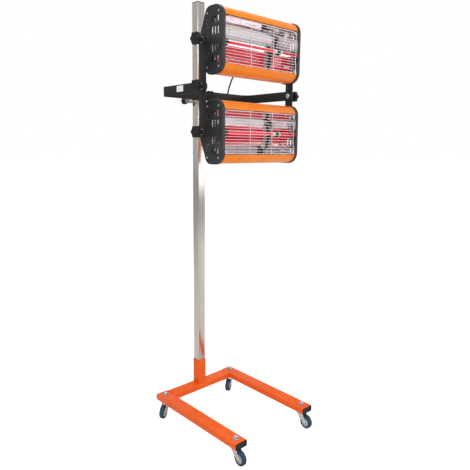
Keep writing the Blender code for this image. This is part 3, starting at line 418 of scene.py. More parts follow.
def refined(node, name, width):
    """A copy of a CAD node with its facets merged and its edges rounded."""
    piece = copied(frame["nodes"][node], name)
    piece.parent = None
    for key in list(piece.keys()):
        del piece[key]
    piece.data.materials.clear()
    pick(piece, "VERT", lambda vertex: True)
    bpy.ops.mesh.remove_doubles(threshold=SAME_PLACE)
    bpy.ops.mesh.dissolve_limited(angle_limit=math.radians(1.0))
    return soften(piece, width)


def dress(piece, material, body, slot, *nodes):
    """Give a piece its finish, let it ride on its body, and let it stand for CAD nodes."""
    object_mode()
    piece.data.materials.clear()
    piece.data.materials.append(material)
    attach(piece, body)
    if nodes:
        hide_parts(*nodes)
    return piece


def at(x=0.0, y=0.0, z=0.0):
    """A move by some metres along X, Y and Z."""
    return Matrix.Translation((x, y, z))


def drop(*patterns):
    """Remove patterns that have been copied to their places."""
    for pattern in patterns:
        bpy.data.objects.remove(pattern, do_unlink=True)


# Base frame

# Corner of the legs and the rear bar, and how far welds stop short of a corner and sink in
CORNER = 0.004
WELD_STOP = 0.003
WELD_SINK = 0.0004


def bar(name, low, high, axis, radius, open_ends):
    """A rectangular tube with rounded corners along an axis, whose ends show their wall where they are open."""
    piece = block(name, low, high)
    round_edges(piece, radius, lambda edge: runs(edge, axis))
    if open_ends:
        pick(piece, "FACE", lambda face: abs(face.normal[axis]) > 0.999)
        draw_in(0.002, each=True)
        draw_in(NO_WIDTH, -0.02, each=True)
    object_mode()
    return soften(piece, 0.0003)


def base_frame():
    """Two legs, the rear bar, the socket and the welds between them."""
    for side in ("left", "right"):
        low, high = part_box(f"{side}_leg")
        leg = bar(f"{side}_leg_tube", low, high, 1, CORNER, True)
        dress(leg, ORANGE_POWDER, "base", "base_coat", f"{side}_leg")
    low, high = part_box("rear_bar")
    dress(bar("rear_bar_tube", low, high, 0, CORNER, False), ORANGE_POWDER, "base", "base_coat", "rear_bar")
    low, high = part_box("post_socket")
    socket = bar("post_socket_tube", low, high, 2, 0.0055, False)
    pick(socket, "FACE", lambda face: face.normal.z > 0.999)
    draw_in(0.0025)
    draw_in(NO_WIDTH, -0.02)
    object_mode()
    dress(soften(socket, 0.0004), ORANGE_POWDER, "base", "base_coat", "post_socket")
    welds = []
    thin, thick = 0.0022, 0.0026
    rear_low, rear_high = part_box("rear_bar")
    for x in (rear_low.x, rear_high.x):
        top = rear_high.z - WELD_SINK
        welds.append(bead(thin, (x, rear_low.y + WELD_STOP, top), (x, rear_high.y - WELD_STOP, top)))
        for y in (rear_low.y + WELD_SINK, rear_high.y - WELD_SINK):
            welds.append(bead(thin, (x, y, rear_low.z + WELD_STOP), (x, y, rear_high.z - WELD_STOP)))
    for x in (low.x, high.x):
        welds.append(bead(thick, (x, low.y + WELD_STOP, BASE_TOP), (x, high.y - WELD_STOP, BASE_TOP)))
    for y in (low.y, high.y):
        welds.append(bead(thick, (low.x + WELD_STOP, y, BASE_TOP), (high.x - WELD_STOP, y, BASE_TOP)))
    dress(soften(joined("base_welds", welds), 0.0), ORANGE_POWDER, "base", "base_coat")


def bead(radius, start, end):
    """A weld bead between two points, in overlapping ripples."""
    start, end = Vector(start), Vector(end)
    way = end - start
    spacing, drawn_out = 0.0035, 1.15
    count = max(2, round(way.length / spacing))
    stretch = (drawn_out if abs(way.x) > 0.0 else 1.0, drawn_out if abs(way.y) > 0.0 else 1.0, 1.0)
    ripples = []
    for number in range(count + 1):
        object_mode()
        bpy.ops.mesh.primitive_uv_sphere_add(
            segments=12, ring_count=8, radius=radius, location=start + way * number / count)
        bpy.ops.transform.resize(value=stretch)
        ripples.append(settled("ripple"))
    return joined("bead", ripples)


def end_plugs():
    """Black plugs in the leg ends, each with a rim round a sunk face."""
    rim_depth = 0.0025
    for side in ("left", "right"):
        for end, way in (("front", -1), ("rear", 1)):
            node = f"{side}_leg_{end}_plug"
            low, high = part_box(node)
            if way < 0:
                high.y = low.y + rim_depth
            else:
                low.y = high.y - rim_depth
            plug = block(f"{node}_moulding", low, high)
            round_edges(plug, CORNER, lambda edge: runs(edge, 1))
            pick(plug, "FACE", lambda face: face.normal.y * way > 0.999)
            draw_in(0.0028)
            draw_in(0.0006, -0.0014)
            pick(plug, "FACE", lambda face: face.normal.y * way < -0.999)
            draw_in(0.0024)
            draw_in(NO_WIDTH, 0.0115)
            object_mode()
            dress(soften(plug, 0.0005), BLACK_NYLON, "base", "black_plastic", node)


def threaded(name, radius, start, end, pitch=0.00125):
    """A threaded end up its own Z, as rings of crest and root with a chamfered tip."""
    piece = upright(name, radius, start - pitch, start, 24)
    pick(piece, "FACE", lambda face: face.normal.z > 0.99)
    depth = 0.86
    height = start
    while height < end - pitch:
        carry(0.0, 0.0, pitch / 2)
        bpy.ops.transform.resize(value=(depth, depth, 1.0))
        carry(0.0, 0.0, pitch / 2)
        bpy.ops.transform.resize(value=(1 / depth, 1 / depth, 1.0))
        height += pitch
    carry(0.0, 0.0, pitch / 2)
    bpy.ops.transform.resize(value=(depth, depth, 1.0))
    object_mode()
    return piece


def hex_nut(radius, low, high):
    """A hexagon nut up its own Z with chamfered corners."""
    nut = upright("nut", radius, low, high, 6)
    rim = upright("nut_rim", radius * 0.965, low - 0.0002, high + 0.0002, 48)
    round_edges(rim, 0.0011, lambda edge: abs(edge.verts[0].co.z - edge.verts[1].co.z) < 1e-6, 2)
    return change(nut, rim, "INTERSECT")


def washer(name, radius, low, high, bore):
    """A flat washer up its own Z."""
    ring = upright(name, radius, low, high, 40)
    pick(ring, "FACE", lambda face: abs(face.normal.z) > 0.99)
    draw_in(radius - bore, each=True)
    bpy.ops.mesh.bridge_edge_loops()
    object_mode()
    return ring


def joint(name):
    """A joint of the record, by its name."""
    return next(item for item in frame["joints"] if item["name"] == name)


def casters():
    """Casters: stems with washer and nut, pressed forks, wheel centres and round-shouldered treads."""
    washer_low = BASE_TOP + 0.0003
    nut_low, nut_high = washer_low + 0.0016, washer_low + 0.0096
    stem = joined("stem_pattern", [
        washer("stem_washer", 0.012, washer_low, nut_low, 0.0052),
        hex_nut(0.0095, nut_low, nut_high),
        threaded("stem_tip", 0.005, nut_high, washer_low + 0.0136),
        upright("stem_shank", 0.005, 0.0717, washer_low + 0.009, 24),
        upright("stem_race", 0.0165, 0.0677, 0.0717, 48, 0.019),
        upright("stem_pin", 0.004, 0.0625, 0.068, 24),
        upright("stem_pin_head", 0.005, 0.0611, 0.0631, 24, 0.007)])
    soften(stem, 0.0004)
    wheel_radius, half_tread, half_hub = 0.03, 0.01, 0.0085
    tyre = rod("tyre_pattern", wheel_radius, (-half_tread, 0.0, 0.0), (half_tread, 0.0, 0.0), 96)
    pick(tyre, "FACE", lambda face: abs(face.normal.x) > 0.99)
    draw_in(0.0097, each=True)
    bpy.ops.mesh.bridge_edge_loops()
    rim = wheel_radius - 0.0005
    round_edges(tyre, 0.0045, lambda edge: middle(edge).yz.length > rim and not runs(edge, 0), 7)
    object_mode()
    soften(tyre, 0.0)
    hub = rod("hub_pattern", 0.0199, (-half_hub, 0.0, 0.0), (half_hub, 0.0, 0.0), 64)
    pick(hub, "FACE", lambda face: abs(face.normal.x) > 0.99)
    draw_in(0.0028, each=True)
    draw_in(0.0008, -0.0032, each=True)
    draw_in(0.0065, each=True)
    draw_in(0.0008, 0.0058, each=True)
    object_mode()
    soften(hub, 0.0005)
    for corner in ("front_left", "front_right", "rear_left", "rear_right"):
        x, y = joint(f"{corner}_swivel")["pos_m"][:2]
        dress(copied(stem, f"{corner}_stem_set", at(x, y)), ZINC_PLATE, "base", "zinc", f"{corner}_stem")
        roll = joint(f"{corner}_roll")
        lean = Vector(roll["axis"])
        place = at(*roll["pos_m"]) @ Matrix.Rotation(math.atan2(lean.y, lean.x), 4, "Z")
        wheel = f"{corner}_wheel"
        dress(copied(tyre, f"{corner}_tread", place), SLATE_RUBBER, wheel, "tread", f"{corner}_tyre")
        dress(copied(hub, f"{corner}_centre", place), PALE_POLYPROPYLENE, wheel, "hub_grey", f"{corner}_hub")
        fork = refined(f"{corner}_fork", f"{corner}_pressing", 0.0005)
        dress(fork, ZINC_PLATE, f"{corner}_caster", "zinc", f"{corner}_fork")
    drop(stem, tyre, hub)


def post():
    """The square post with its cap, and the bolt at the back of the socket."""
    corner, cap_height = 0.003, 0.003
    piece = bar("post_tube", post_low, post_high, 2, corner, False)
    dress(piece, STAINLESS, "base", "stainless", "post")
    low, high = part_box("post_cap")
    low.z = high.z - cap_height
    cap = block("post_cap_moulding", low, high)
    round_edges(cap, corner, lambda edge: runs(edge, 2))
    object_mode()
    dress(soften(cap, 0.0009, 3), BLACK_NYLON, "base", "black_plastic", "post_cap")
    head = joined("socket_bolt", [
        washer("bolt_washer", 0.0085, 0.0, 0.0016, 0.004),
        hex_nut(0.0075, 0.0016, 0.0069),
        upright("bolt_shank", 0.004, -0.001, 0.005, 24)])
    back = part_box("post_socket")[1].y
    head.data.transform(at(0.0, back, SOCKET_BOLT_Z) @ TO_BACK)
    dress(soften(head, 0.0003), ZINC_PLATE, "base", "zinc")


# Knobs


def shrink(height, share):
    """Carry the selected face up by a height while it shrinks to a share of its size."""
    carry(0.0, 0.0, height)
    bpy.ops.transform.resize(value=(share, share, 1.0), center_override=(0.0, 0.0, 0.0))


def star_knob(name, radius, thickness, neck, stud_radius=0.0, stud=0.0):
    """A six-lobed knob up its own Z: rounded star with a sunk top, round cover, neck and, if asked, a stud."""
    curve, steps = 0.0026, 5
    turn_step = math.pi / 2 / steps
    top = neck + thickness
    low, high = neck + curve, top - curve
    star = upright("star", radius, low, high, 72)
    for lobe in range(6):
        angle = math.tau * (lobe + 0.5) / 6
        way = Vector((math.cos(angle), math.sin(angle), 0.0))
        pick(star, "VERT", lambda vertex: vertex.co.xy.normalized().dot(way.xy) > 0.9995)
        bpy.ops.transform.translate(
            value=way * -0.2 * radius, use_proportional_edit=True, proportional_edit_falloff="SMOOTH",
            proportional_size=radius * 0.5)
    for side in (1, -1):
        pick(star, "FACE", lambda face: face.normal.z * side > 0.99)
        before = radius
        for step in range(1, steps + 1):
            angle = step * turn_step
            after = radius - curve * (1 - math.cos(angle))
            shrink(side * curve * (math.sin(angle) - math.sin(angle - turn_step)), after / before)
            before = after
        shrink(0.0, 0.84)
        shrink(-side * 0.0007, 0.965)
    object_mode()
    soften(star, 0.0, 2, 30.0)
    cover = upright("cover", radius * 0.36, top - 0.0012, top - 0.0002, 40)
    round_edges(cover, 0.0004, lambda edge: all(v.co.z > top - 0.0003 for v in edge.verts), 3)
    object_mode()
    shank = upright("neck", 0.0095, 0.0015, neck + 0.002, 40, 0.009)
    parts = [star, soften(cover, 0.0), shank]
    if stud:
        parts.append(upright("stud", stud_radius, -stud, 0.002, 20))
    return joined(name, parts)


def knobs():
    """The eight knobs at their seats, each with its washer."""
    radius, thickness, neck = 0.0235, 0.018, 0.0195
    side = star_knob("side_knob", radius, thickness, neck)
    head = star_knob("head_knob", radius, thickness, neck, stud_radius=0.004, stud=0.018)
    centre = star_knob("centre_pattern", radius, thickness, 0.004, stud_radius=0.005, stud=0.027)
    small = star_knob("small_knob", 0.016, 0.016, neck)
    disc = soften(washer("disc", 0.0112, 0.0, 0.0015, 0.006), 0.0003)
    places = []
    for way, sign, turn in SIDES:
        places.append((f"middle_{way}_knob", side, at(sign * KNOB_SEAT, PIVOT_Y, AXIS) @ turn))
        for level, step in LEVELS:
            places.append((f"{level}_{way}_knob", head, at(sign * KNOB_SEAT, PIVOT_Y, AXIS + step) @ turn))
    places.append(("centre_knob", centre, at(0.0, POST_Y - CENTRE_SEAT, AXIS) @ TO_FRONT))
    places.append(("collar_knob", small, at(EAR_X, POST_Y + COLLAR_SEAT, EAR_Z) @ TO_BACK))
    for node, pattern, place in places:
        dress(copied(pattern, f"{node}_moulding", place), BLACK_NYLON, node, "black_plastic", node)
        dress(copied(disc, f"{node}_washer", place), ZINC_PLATE, node, "zinc")
    drop(side, head, centre, small, disc)


# Bracket, bars and collar


def bend(centre, run):
    """Carry the selected open end round a right-angled bend and on along a run."""
    bpy.ops.mesh.spin(steps=12, angle=math.pi / 2, center=centre, axis=(0.0, 0.0, 1.0))
    carry(*run)


def u_bracket():
    """The U bracket, bent tight at the left and wide at the right, with its arm bolts and blank label."""
    outer, inner, half = 0.2365, 0.2315, BAR_HALF
    back = POST_Y - 0.0608
    tip = PIVOT_Y - half
    tight, wide = 0.014, 0.042
    piece = block("bracket_flat", (-outer, tip, AXIS - half), (-inner, back - tight, AXIS + half))
    pick(piece, "FACE", lambda face: face.normal.y > 0.99)
    bpy.ops.mesh.delete(type="FACE")
    pick(piece, "EDGE", lambda edge: edge.is_boundary)
    bend((-outer + tight, back - tight, AXIS), (2 * outer - tight - wide, 0.0, 0.0))
    bend((outer - wide, back - wide, AXIS), (0.0, tip - back + wide, 0.0))
    bpy.ops.mesh.edge_face_add()
    tidy_surface(piece)
    round_edges(piece, half - 0.0002, lambda edge: runs(edge, 0) and middle(edge).y < tip + HAIR, 12)
    object_mode()
    dress(soften(piece, 0.0007), BLACK_POWDER, "bracket", "black_coat", "u_bracket")
    for side, sign, turn in SIDES:
        head = upright("head", 0.0105, 0.0, -0.004, 48, 0.0075)
        pick(head, "FACE", lambda face: face.normal.z < -0.99)
        draw_in(0.003)
        draw_in(0.0004, -0.0022)
        object_mode()
        soften(head, 0.0007, 3)
        shank = upright("shank", 0.004, -0.001, 0.024, 24)
        bolt = joined(f"{side}_arm_bolt_set", [head, shank])
        bolt.data.transform(at(sign * (inner - 0.0003), PIVOT_Y, AXIS) @ turn)
        dress(bolt, ZINC_PLATE, "bracket", "zinc", f"{side}_arm_bolt")
    label = block(
        "blank_label", (-outer - 0.00025, PIVOT_Y + 0.1222, AXIS - 0.008),
        (-outer + 0.0002, PIVOT_Y + 0.1642, AXIS + 0.015))
    round_edges(label, 0.002, lambda edge: runs(edge, 0), 4)
    object_mode()
    dress(soften(label, 0.0), LABEL_STOCK, "bracket", "hub_grey")


def side_bars():
    """Two flat bars with round ends."""
    for side in ("left", "right"):
        low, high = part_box(f"{side}_bar")
        piece = block(f"{side}_flat", low, high)
        round_edges(piece, BAR_HALF - 0.0002, lambda edge: runs(edge, 0), 12)
        object_mode()
        dress(soften(piece, 0.0007), BLACK_POWDER, "side_bars", "black_coat", f"{side}_bar")


def collar():
    """The strap round the post with its ears and hub, and the bolt through the ears."""
    strap = refined("collar", "collar_strap", 0.0005)
    dress(strap, ZINC_PLATE, "collar", "zinc", "collar")
    bolt = joined("collar_bolt_set", [
        hex_nut(0.009, -0.005, 0.0),
        upright("shank", 0.005, -0.001, 0.0595, 24)])
    bolt.data.transform(at(EAR_X, POST_Y - COLLAR_SEAT, EAR_Z) @ TO_BACK)
    dress(soften(bolt, 0.0003), ZINC_PLATE, "collar", "zinc", "collar_bolt")


# Lamp heads

# Half a head's length, and its section from its pivots: forward, back, back to the top's end, up, up to the back
HEAD_HALF = 0.213
FRONT, BACK, TOP_BACK, HALF_HEIGHT, BACK_HALF = 0.08, 0.05, 0.01, 0.12, 0.024
# Half the window's height, the caps' wall, the play at a wall, and where the heating tube lies
LIP_HALF = 0.084
CAP_WALL = 0.0014
PLAY = 0.0002
TUBE_OFFSET, TUBE_Y = -0.014, -0.03
# The tube's clips and ceramics, out from its middle
CLIP_STEP = 0.142
CERAMIC_HIGH, LEFT_CERAMIC_LOW, GLASS_HALF = 0.165, 0.132, 0.119
# Lead between the heads
LEAD_RADIUS = 0.003
LEAD_STEPS = 44


def head_block(name, low_x, high_x, inset=0.0):
    """The head's six-cornered section between two places along X, with rounded corners."""
    piece = block(
        name, (low_x, inset - FRONT, inset - HALF_HEIGHT), (high_x, BACK - inset, HALF_HEIGHT - inset))
    corner = Vector((0.0, TOP_BACK, HALF_HEIGHT))
    along = (Vector((0.0, BACK, BACK_HALF)) - corner).normalized()
    lean = math.atan2(-along.z, along.y)
    for side in (1, -1):
        outward = Vector((0.0, -along.z, side * along.y))
        start = Vector((0.0, TOP_BACK, side * HALF_HEIGHT)) - outward * inset
        pick(piece, "FACE", lambda face: True)
        bpy.ops.mesh.bisect(plane_co=start, plane_no=outward, use_fill=True, clear_outer=True)

    def top(edge):
        return runs(edge, 0) and abs(middle(edge).z) > HALF_HEIGHT - inset - HAIR and middle(edge).y > 0.0

    def rear(edge):
        return runs(edge, 0) and middle(edge).y > BACK - inset - HAIR

    def nose(edge):
        return runs(edge, 0) and middle(edge).y < inset - FRONT + HAIR

    top_radius, rear_radius, nose_radius = 0.028, 0.016, 0.044
    round_edges(piece, (top_radius - inset) * math.tan(lean / 2), top, 10)
    round_edges(piece, (rear_radius - inset) * math.tan((math.pi / 2 - lean) / 2), rear, 5)
    round_edges(piece, nose_radius - inset, nose, 16)
    object_mode()
    return piece


def vents():
    """The bars that cut the twelve vent slots of a left cap and of the trough's plate behind it."""
    radius, first, pitch = 0.0027, -0.056, 0.0155
    bars = []
    for column in range(3):
        y = first + column * pitch
        for row, length in ((0.0305, 0.027), (0.069, 0.023)):
            for z in (-row, row):
                slot = rod("vent", radius, (-HEAD_HALF - 0.004, y, z), (-HEAD_HALF + 0.008, y, z), 20)
                pick(slot, "VERT", lambda vertex: vertex.co.z > z + HAIR)
                bpy.ops.transform.translate(value=(0.0, 0.0, length / 2 - radius))
                pick(slot, "VERT", lambda vertex: vertex.co.z < z - HAIR)
                bpy.ops.transform.translate(value=(0.0, 0.0, radius - length / 2))
                object_mode()
                bars.append(slot)
    return joined("vents", bars)


def end_cap():
    """The left cap: rim, sunk field, hollow behind it, vent slots and the pivot boss."""
    cap = head_block("cap_pattern", -HEAD_HALF, -HEAD_HALF + 0.015)
    round_edges(cap, 0.003, lambda edge: all(v.co.x < HAIR - HEAD_HALF for v in edge.verts), 4)
    pick(cap, "FACE", lambda face: face.normal.x < -0.999)
    draw_in(0.0025)
    draw_in(0.0007, -0.0004)
    object_mode()
    change(cap, head_block("room", -HEAD_HALF + CAP_WALL, -HEAD_HALF + 0.03, 0.0025))
    change(cap, vents())
    soften(cap, 0.0004, 2, 40.0)
    root, boss_end = -HEAD_HALF + 0.001, -0.2367
    boss = rod("boss", 0.014, (root, 0.0, 0.0), (boss_end, 0.0, 0.0), 48)
    round_edges(boss, 0.0012, lambda edge: all(v.co.x < boss_end + 0.0007 for v in edge.verts), 3)
    flange = rod("flange", 0.0175, (root, 0.0, 0.0), (-HEAD_HALF - 0.0022, 0.0, 0.0), 48)
    object_mode()
    soften(flange, 0.0007)
    return joined("cap_pattern", [cap, soften(boss, 0.0), flange])


def cap_screws():
    """The pan-head screws at a cap's corners and the small rivets along its slanted edges, at the left."""
    root = -HEAD_HALF + 0.001
    parts = []
    for y in (-0.06, 0.004):
        for z in (-0.0945, 0.0945):
            head = rod("screw", 0.0036, (root, y, z), (-HEAD_HALF - 0.0016, y, z), 24)
            pick(head, "FACE", lambda face: face.normal.x < -0.99)
            draw_in(0.0019)
            draw_in(0.0002, -0.001)
            object_mode()
            parts.append(soften(head, 0.0006, 3))
    for y, z in ((0.009, 0.072), (0.01, 0.062), (0.003, 0.055), (-0.002, 0.046), (0.008, 0.047)):
        for side in (1, -1):
            dot = rod("rivet", 0.0013, (root, y, z * side), (-HEAD_HALF - 0.0006, y, z * side), 12)
            parts.append(soften(dot, 0.0004))
    return joined("screw_pattern", parts)


def shell():
    """The bent sheet of the head, open at the window, whose lips turn in."""
    inset, lip = 0.0028, 0.01
    piece = head_block("shell_pattern", -HEAD_HALF + inset, HEAD_HALF - inset, inset)
    pick(piece, "FACE", lambda face: abs(face.normal.x) > 0.99)
    bpy.ops.mesh.delete(type="FACE")
    for z in (LIP_HALF, -LIP_HALF):
        pick(piece, "FACE", lambda face: face.calc_center_median().y < -0.03)
        bpy.ops.mesh.bisect(plane_co=(0.0, 0.0, z), plane_no=(0.0, 0.0, 1.0))

    def window(face):
        centre = face.calc_center_median()
        return centre.y < -0.05 and abs(centre.z) < LIP_HALF

    pick(piece, "FACE", window)
    bpy.ops.mesh.delete(type="FACE")
    pick(piece, "EDGE", lambda edge: edge.is_boundary and runs(edge, 0))
    carry(0.0, lip, 0.0)
    pick(piece, "FACE", lambda face: True)
    bpy.ops.mesh.normals_make_consistent(inside=False)
    thicken(piece, 0.0018)
    return soften(piece, 0.0004)


# Y of the trough's sheet from the pivots, every 12 mm from its lower rim up, minus in front of them
TROUGH_ROWS = (-0.0512, -0.0403, -0.0298, -0.0204, -0.0129, -0.0074, -0.0042, -0.0031,
               -0.0037, -0.0073, -0.0126, -0.0194, -0.028, -0.0423, -0.0604)


def trough_depth(z):
    """The Y of the trough's sheet at a height, on one smooth curve through its rows."""
    last = len(TROUGH_ROWS) - 1
    place = min(max((z / LIP_HALF + 1) * last / 2, 0.0), last - 0.0001)
    row = int(place)
    t = place - row
    before, low, high, after = [TROUGH_ROWS[min(max(row + step, 0), last)] for step in (-1, 0, 1, 2)]
    if row == 0:
        before = 2 * low - high
    if row == last - 1:
        after = 2 * high - low
    slope = (high - before) / 2
    square = (2 * before - 5 * low + 4 * high - after) / 2
    cube = (3 * low - before - 3 * high + after) / 2
    return low + t * slope + t * t * square + t ** 3 * cube


def trough():
    """The reflector: a sheet curved round the tube, flanged to the lips, with a vented plate against each cap."""
    length, folds = 2 * (HEAD_HALF - CAP_WALL - PLAY), 56
    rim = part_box("upper_head_reflector")[0].y - PIVOT_Y + 0.01
    object_mode()
    bpy.ops.mesh.primitive_grid_add(
        x_subdivisions=1, y_subdivisions=folds, size=1.0, rotation=(math.pi / 2, 0.0, 0.0))
    piece = settled("trough_pattern")
    pick(piece, "VERT", lambda vertex: True)
    bpy.ops.transform.resize(value=(length, 1.0, 2 * LIP_HALF), center_override=(0.0, 0.0, 0.0))
    for fold in range(folds + 1):
        z = (2 * fold / folds - 1) * LIP_HALF
        pick(piece, "VERT", lambda vertex: abs(vertex.co.z - z) < HAIR)
        bpy.ops.transform.translate(value=(0.0, trough_depth(z), 0.0))
    for side in (-1, 1):
        pick(piece, "EDGE", lambda edge: runs(edge, 0) and middle(edge).z * side > LIP_HALF - HAIR)
        carry(0.0, rim - trough_depth(side * LIP_HALF), 0.0)
    for side in (-1, 1):
        pick(piece, "EDGE", lambda edge: edge.is_boundary and all(v.co.x * side > 0.2 for v in edge.verts))
        bpy.ops.mesh.edge_face_add()
    pick(piece, "FACE", lambda face: True)
    bpy.ops.mesh.normals_make_consistent(inside=True)
    inward = bmesh.from_edit_mesh(piece.data)
    if sum(face.normal.y * face.calc_area() for face in inward.faces) > 0.0:
        bpy.ops.mesh.flip_normals()
    thicken(piece, 0.0006)
    for side in (1, -1):
        cutter = vents()
        cutter.data.transform(Matrix.Scale(side, 4, (1.0, 0.0, 0.0)))
        if side < 0:
            cutter.data.flip_normals()
        change(piece, cutter)
    return soften(piece, 0.0)


def tube_set():
    """The quartz tube that runs through its ceramics to both end plates, and the filament inside."""
    reach, radius, ceramic_radius = 0.2085, 0.006, 0.009
    left, right = -reach - TUBE_OFFSET, reach - TUBE_OFFSET
    tube = rod("tube_pattern", radius, (left, TUBE_Y, 0.0), (right, TUBE_Y, 0.0), 48)
    soften(tube, 0.0008, 2)
    ends = []
    for start, end in ((-CERAMIC_HIGH, -LEFT_CERAMIC_LOW), (GLASS_HALF, CERAMIC_HIGH)):
        body = rod("ceramic", ceramic_radius, (start, TUBE_Y, 0.0), (end, TUBE_Y, 0.0), 48)
        ends.append(soften(body, 0.0016, 4))
    ceramics = joined("ceramic_pattern", ends)
    object_mode()
    bpy.ops.mesh.primitive_circle_add(vertices=6, radius=0.00045, location=(-GLASS_HALF, 0.0022, 0.0))
    coil = settled("filament_pattern")
    wind = coil.modifiers.new("winding", "SCREW")
    wind.axis = "X"
    wind.iterations = 70
    wind.steps = 10
    wind.render_steps = 10
    wind.screw_offset = GLASS_HALF * 2 / wind.iterations
    choose(coil)
    bpy.ops.object.modifier_apply(modifier="winding")
    coil.data.transform(at(0.0, TUBE_Y))
    soften(coil, 0.0)
    return tube, ceramics, coil


def clip():
    """A clip round a ceramic with its foot to the trough."""
    half, past = 0.007, 0.014
    ring = rod("clip_pattern", 0.0125, (-half, TUBE_Y, 0.0), (half, TUBE_Y, 0.0), 48)
    foot = block("foot", (-half, TUBE_Y + 0.0095, -0.006), (half, 0.005, 0.006))
    change(ring, foot, "UNION")
    hole = rod("hole", 0.0093, (-past, TUBE_Y, 0.0), (past, TUBE_Y, 0.0), 48)
    return soften(change(ring, hole), 0.0006)


def wire_guard():
    """The welded guard: a rounded loop, two posts and fourteen rows in front of them."""
    y, half, high, corner, rows = -0.0715, 0.1944, 0.0795, 0.022, 14
    loop_wire, post_wire, row_wire = 0.0015, 0.0011, 0.0009
    object_mode()
    bpy.ops.mesh.primitive_plane_add(size=1.0, location=(0.0, y, 0.0), rotation=(math.pi / 2, 0.0, 0.0))
    loop = settled("guard_pattern")
    pick(loop, "VERT", lambda vertex: True)
    bpy.ops.transform.resize(value=(2 * half, 1.0, 2 * high), center_override=(0.0, y, 0.0))
    bpy.ops.mesh.bevel(offset=corner, segments=10, profile=0.5, affect="VERTICES")
    bpy.ops.mesh.delete(type="ONLY_FACE")
    object_mode()
    choose(loop)
    bpy.ops.object.convert(target="CURVE")
    loop.data.bevel_depth = loop_wire
    loop.data.bevel_resolution = 3
    bpy.ops.object.convert(target="MESH")
    parts = [bpy.context.view_layer.objects.active]
    for x in (-0.0611, 0.0611):
        parts.append(rod("post", post_wire, (x, y, -0.0837), (x, y, 0.0837), 12))
    for number in range(1, rows + 1):
        z = high * (2 * number / (rows + 1) - 1)
        into = max(0.0, corner - high + abs(z))
        reach = half - corner + math.sqrt(corner ** 2 - into ** 2)
        parts.append(rod("row", row_wire, (-reach, y - 0.002, z), (reach, y - 0.002, z), 12))
    return soften(joined("guard_pattern", parts), 0.0, 2, 60.0)


def gland_set(level, x, side):
    """A gland on a slanted back face, hexagon base and domed nut, and where and how its lead leaves it."""
    start = Vector((x, TOP_BACK, side * HALF_HEIGHT))
    end = Vector((x, BACK, side * BACK_HALF))
    along = (end - start).normalized()
    outward = Vector((0.0, abs(along.z), side * abs(along.y)))
    turn = outward.to_track_quat("Z", "X").to_matrix().to_4x4()
    place = (start + end) / 2 - outward * 0.0025
    mouth = 0.016
    base = soften(upright("base", 0.0096, 0.0, 0.005, 6), 0.0005)
    nut = upright("dome", 0.0082, 0.004, mouth, 12, 0.0078)
    round_edges(nut, 0.0028, lambda edge: all(v.co.z > mouth - HAIR for v in edge.verts), 4)
    object_mode()
    soften(nut, 0.0, 2, 30.0)
    piece = joined(f"{level}_gland_set", [base, nut])
    height = AXIS + dict(LEVELS)[level]
    piece.data.transform(at(0.0, PIVOT_Y, height) @ Matrix.Translation(place) @ turn)
    dress(piece, BLACK_NYLON, f"{level}_head", "black_plastic", f"{level}_head_gland")
    return Vector((0.0, PIVOT_Y, height)) + place + outward * (mouth + 0.0003), outward


def lead_half(level, points):
    """One half of the lead: a round tube along its points that takes the CAD lead's place, fixed where it is
    built.
    """
    curve = bpy.data.curves.new(f"{level}_lead", "CURVE")
    curve.dimensions = "3D"
    curve.bevel_depth = LEAD_RADIUS
    curve.bevel_resolution = 5
    curve.use_fill_caps = True
    spline = curve.splines.new("POLY")
    spline.points.add(len(points) - 1)
    for point, place in zip(spline.points, points):
        point.co = (*place, 1.0)
    spline.use_smooth = True
    piece = bpy.data.objects.new(f"{level}_lead", curve)
    bpy.context.scene.collection.objects.link(piece)
    choose(piece)
    bpy.ops.object.convert(target="MESH")
    piece = bpy.context.view_layer.objects.active
    tidy_surface(piece)
    object_mode()
    bpy.ops.object.shade_smooth_by_angle(angle=math.radians(40.0))
    piece.data.materials.clear()
    piece.data.materials.append(BLACK_PVC)
    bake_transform(piece)
    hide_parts("heads_lead")


def lead():
    """The lead from one head's gland to the other's, in a loose bow behind them."""
    start, start_way = gland_set("upper", -0.02, -1)
    end, end_way = gland_set("lower", -0.062, 1)
    straight, pull = 0.006, 0.048
    leave, arrive = start + start_way * straight, end + end_way * straight
    first, second = leave + start_way * pull, arrive + end_way * pull
    points = [start]
    for step in range(LEAD_STEPS + 1):
        t = step / LEAD_STEPS
        u = 1 - t
        points.append(leave * u ** 3 + first * 3 * u * u * t + second * 3 * u * t * t + arrive * t ** 3)
    points.append(end)
    half = LEAD_STEPS // 2 + 2
    lead_half("upper", points[:half])
    lead_half("lower", points[:half - 2:-1])


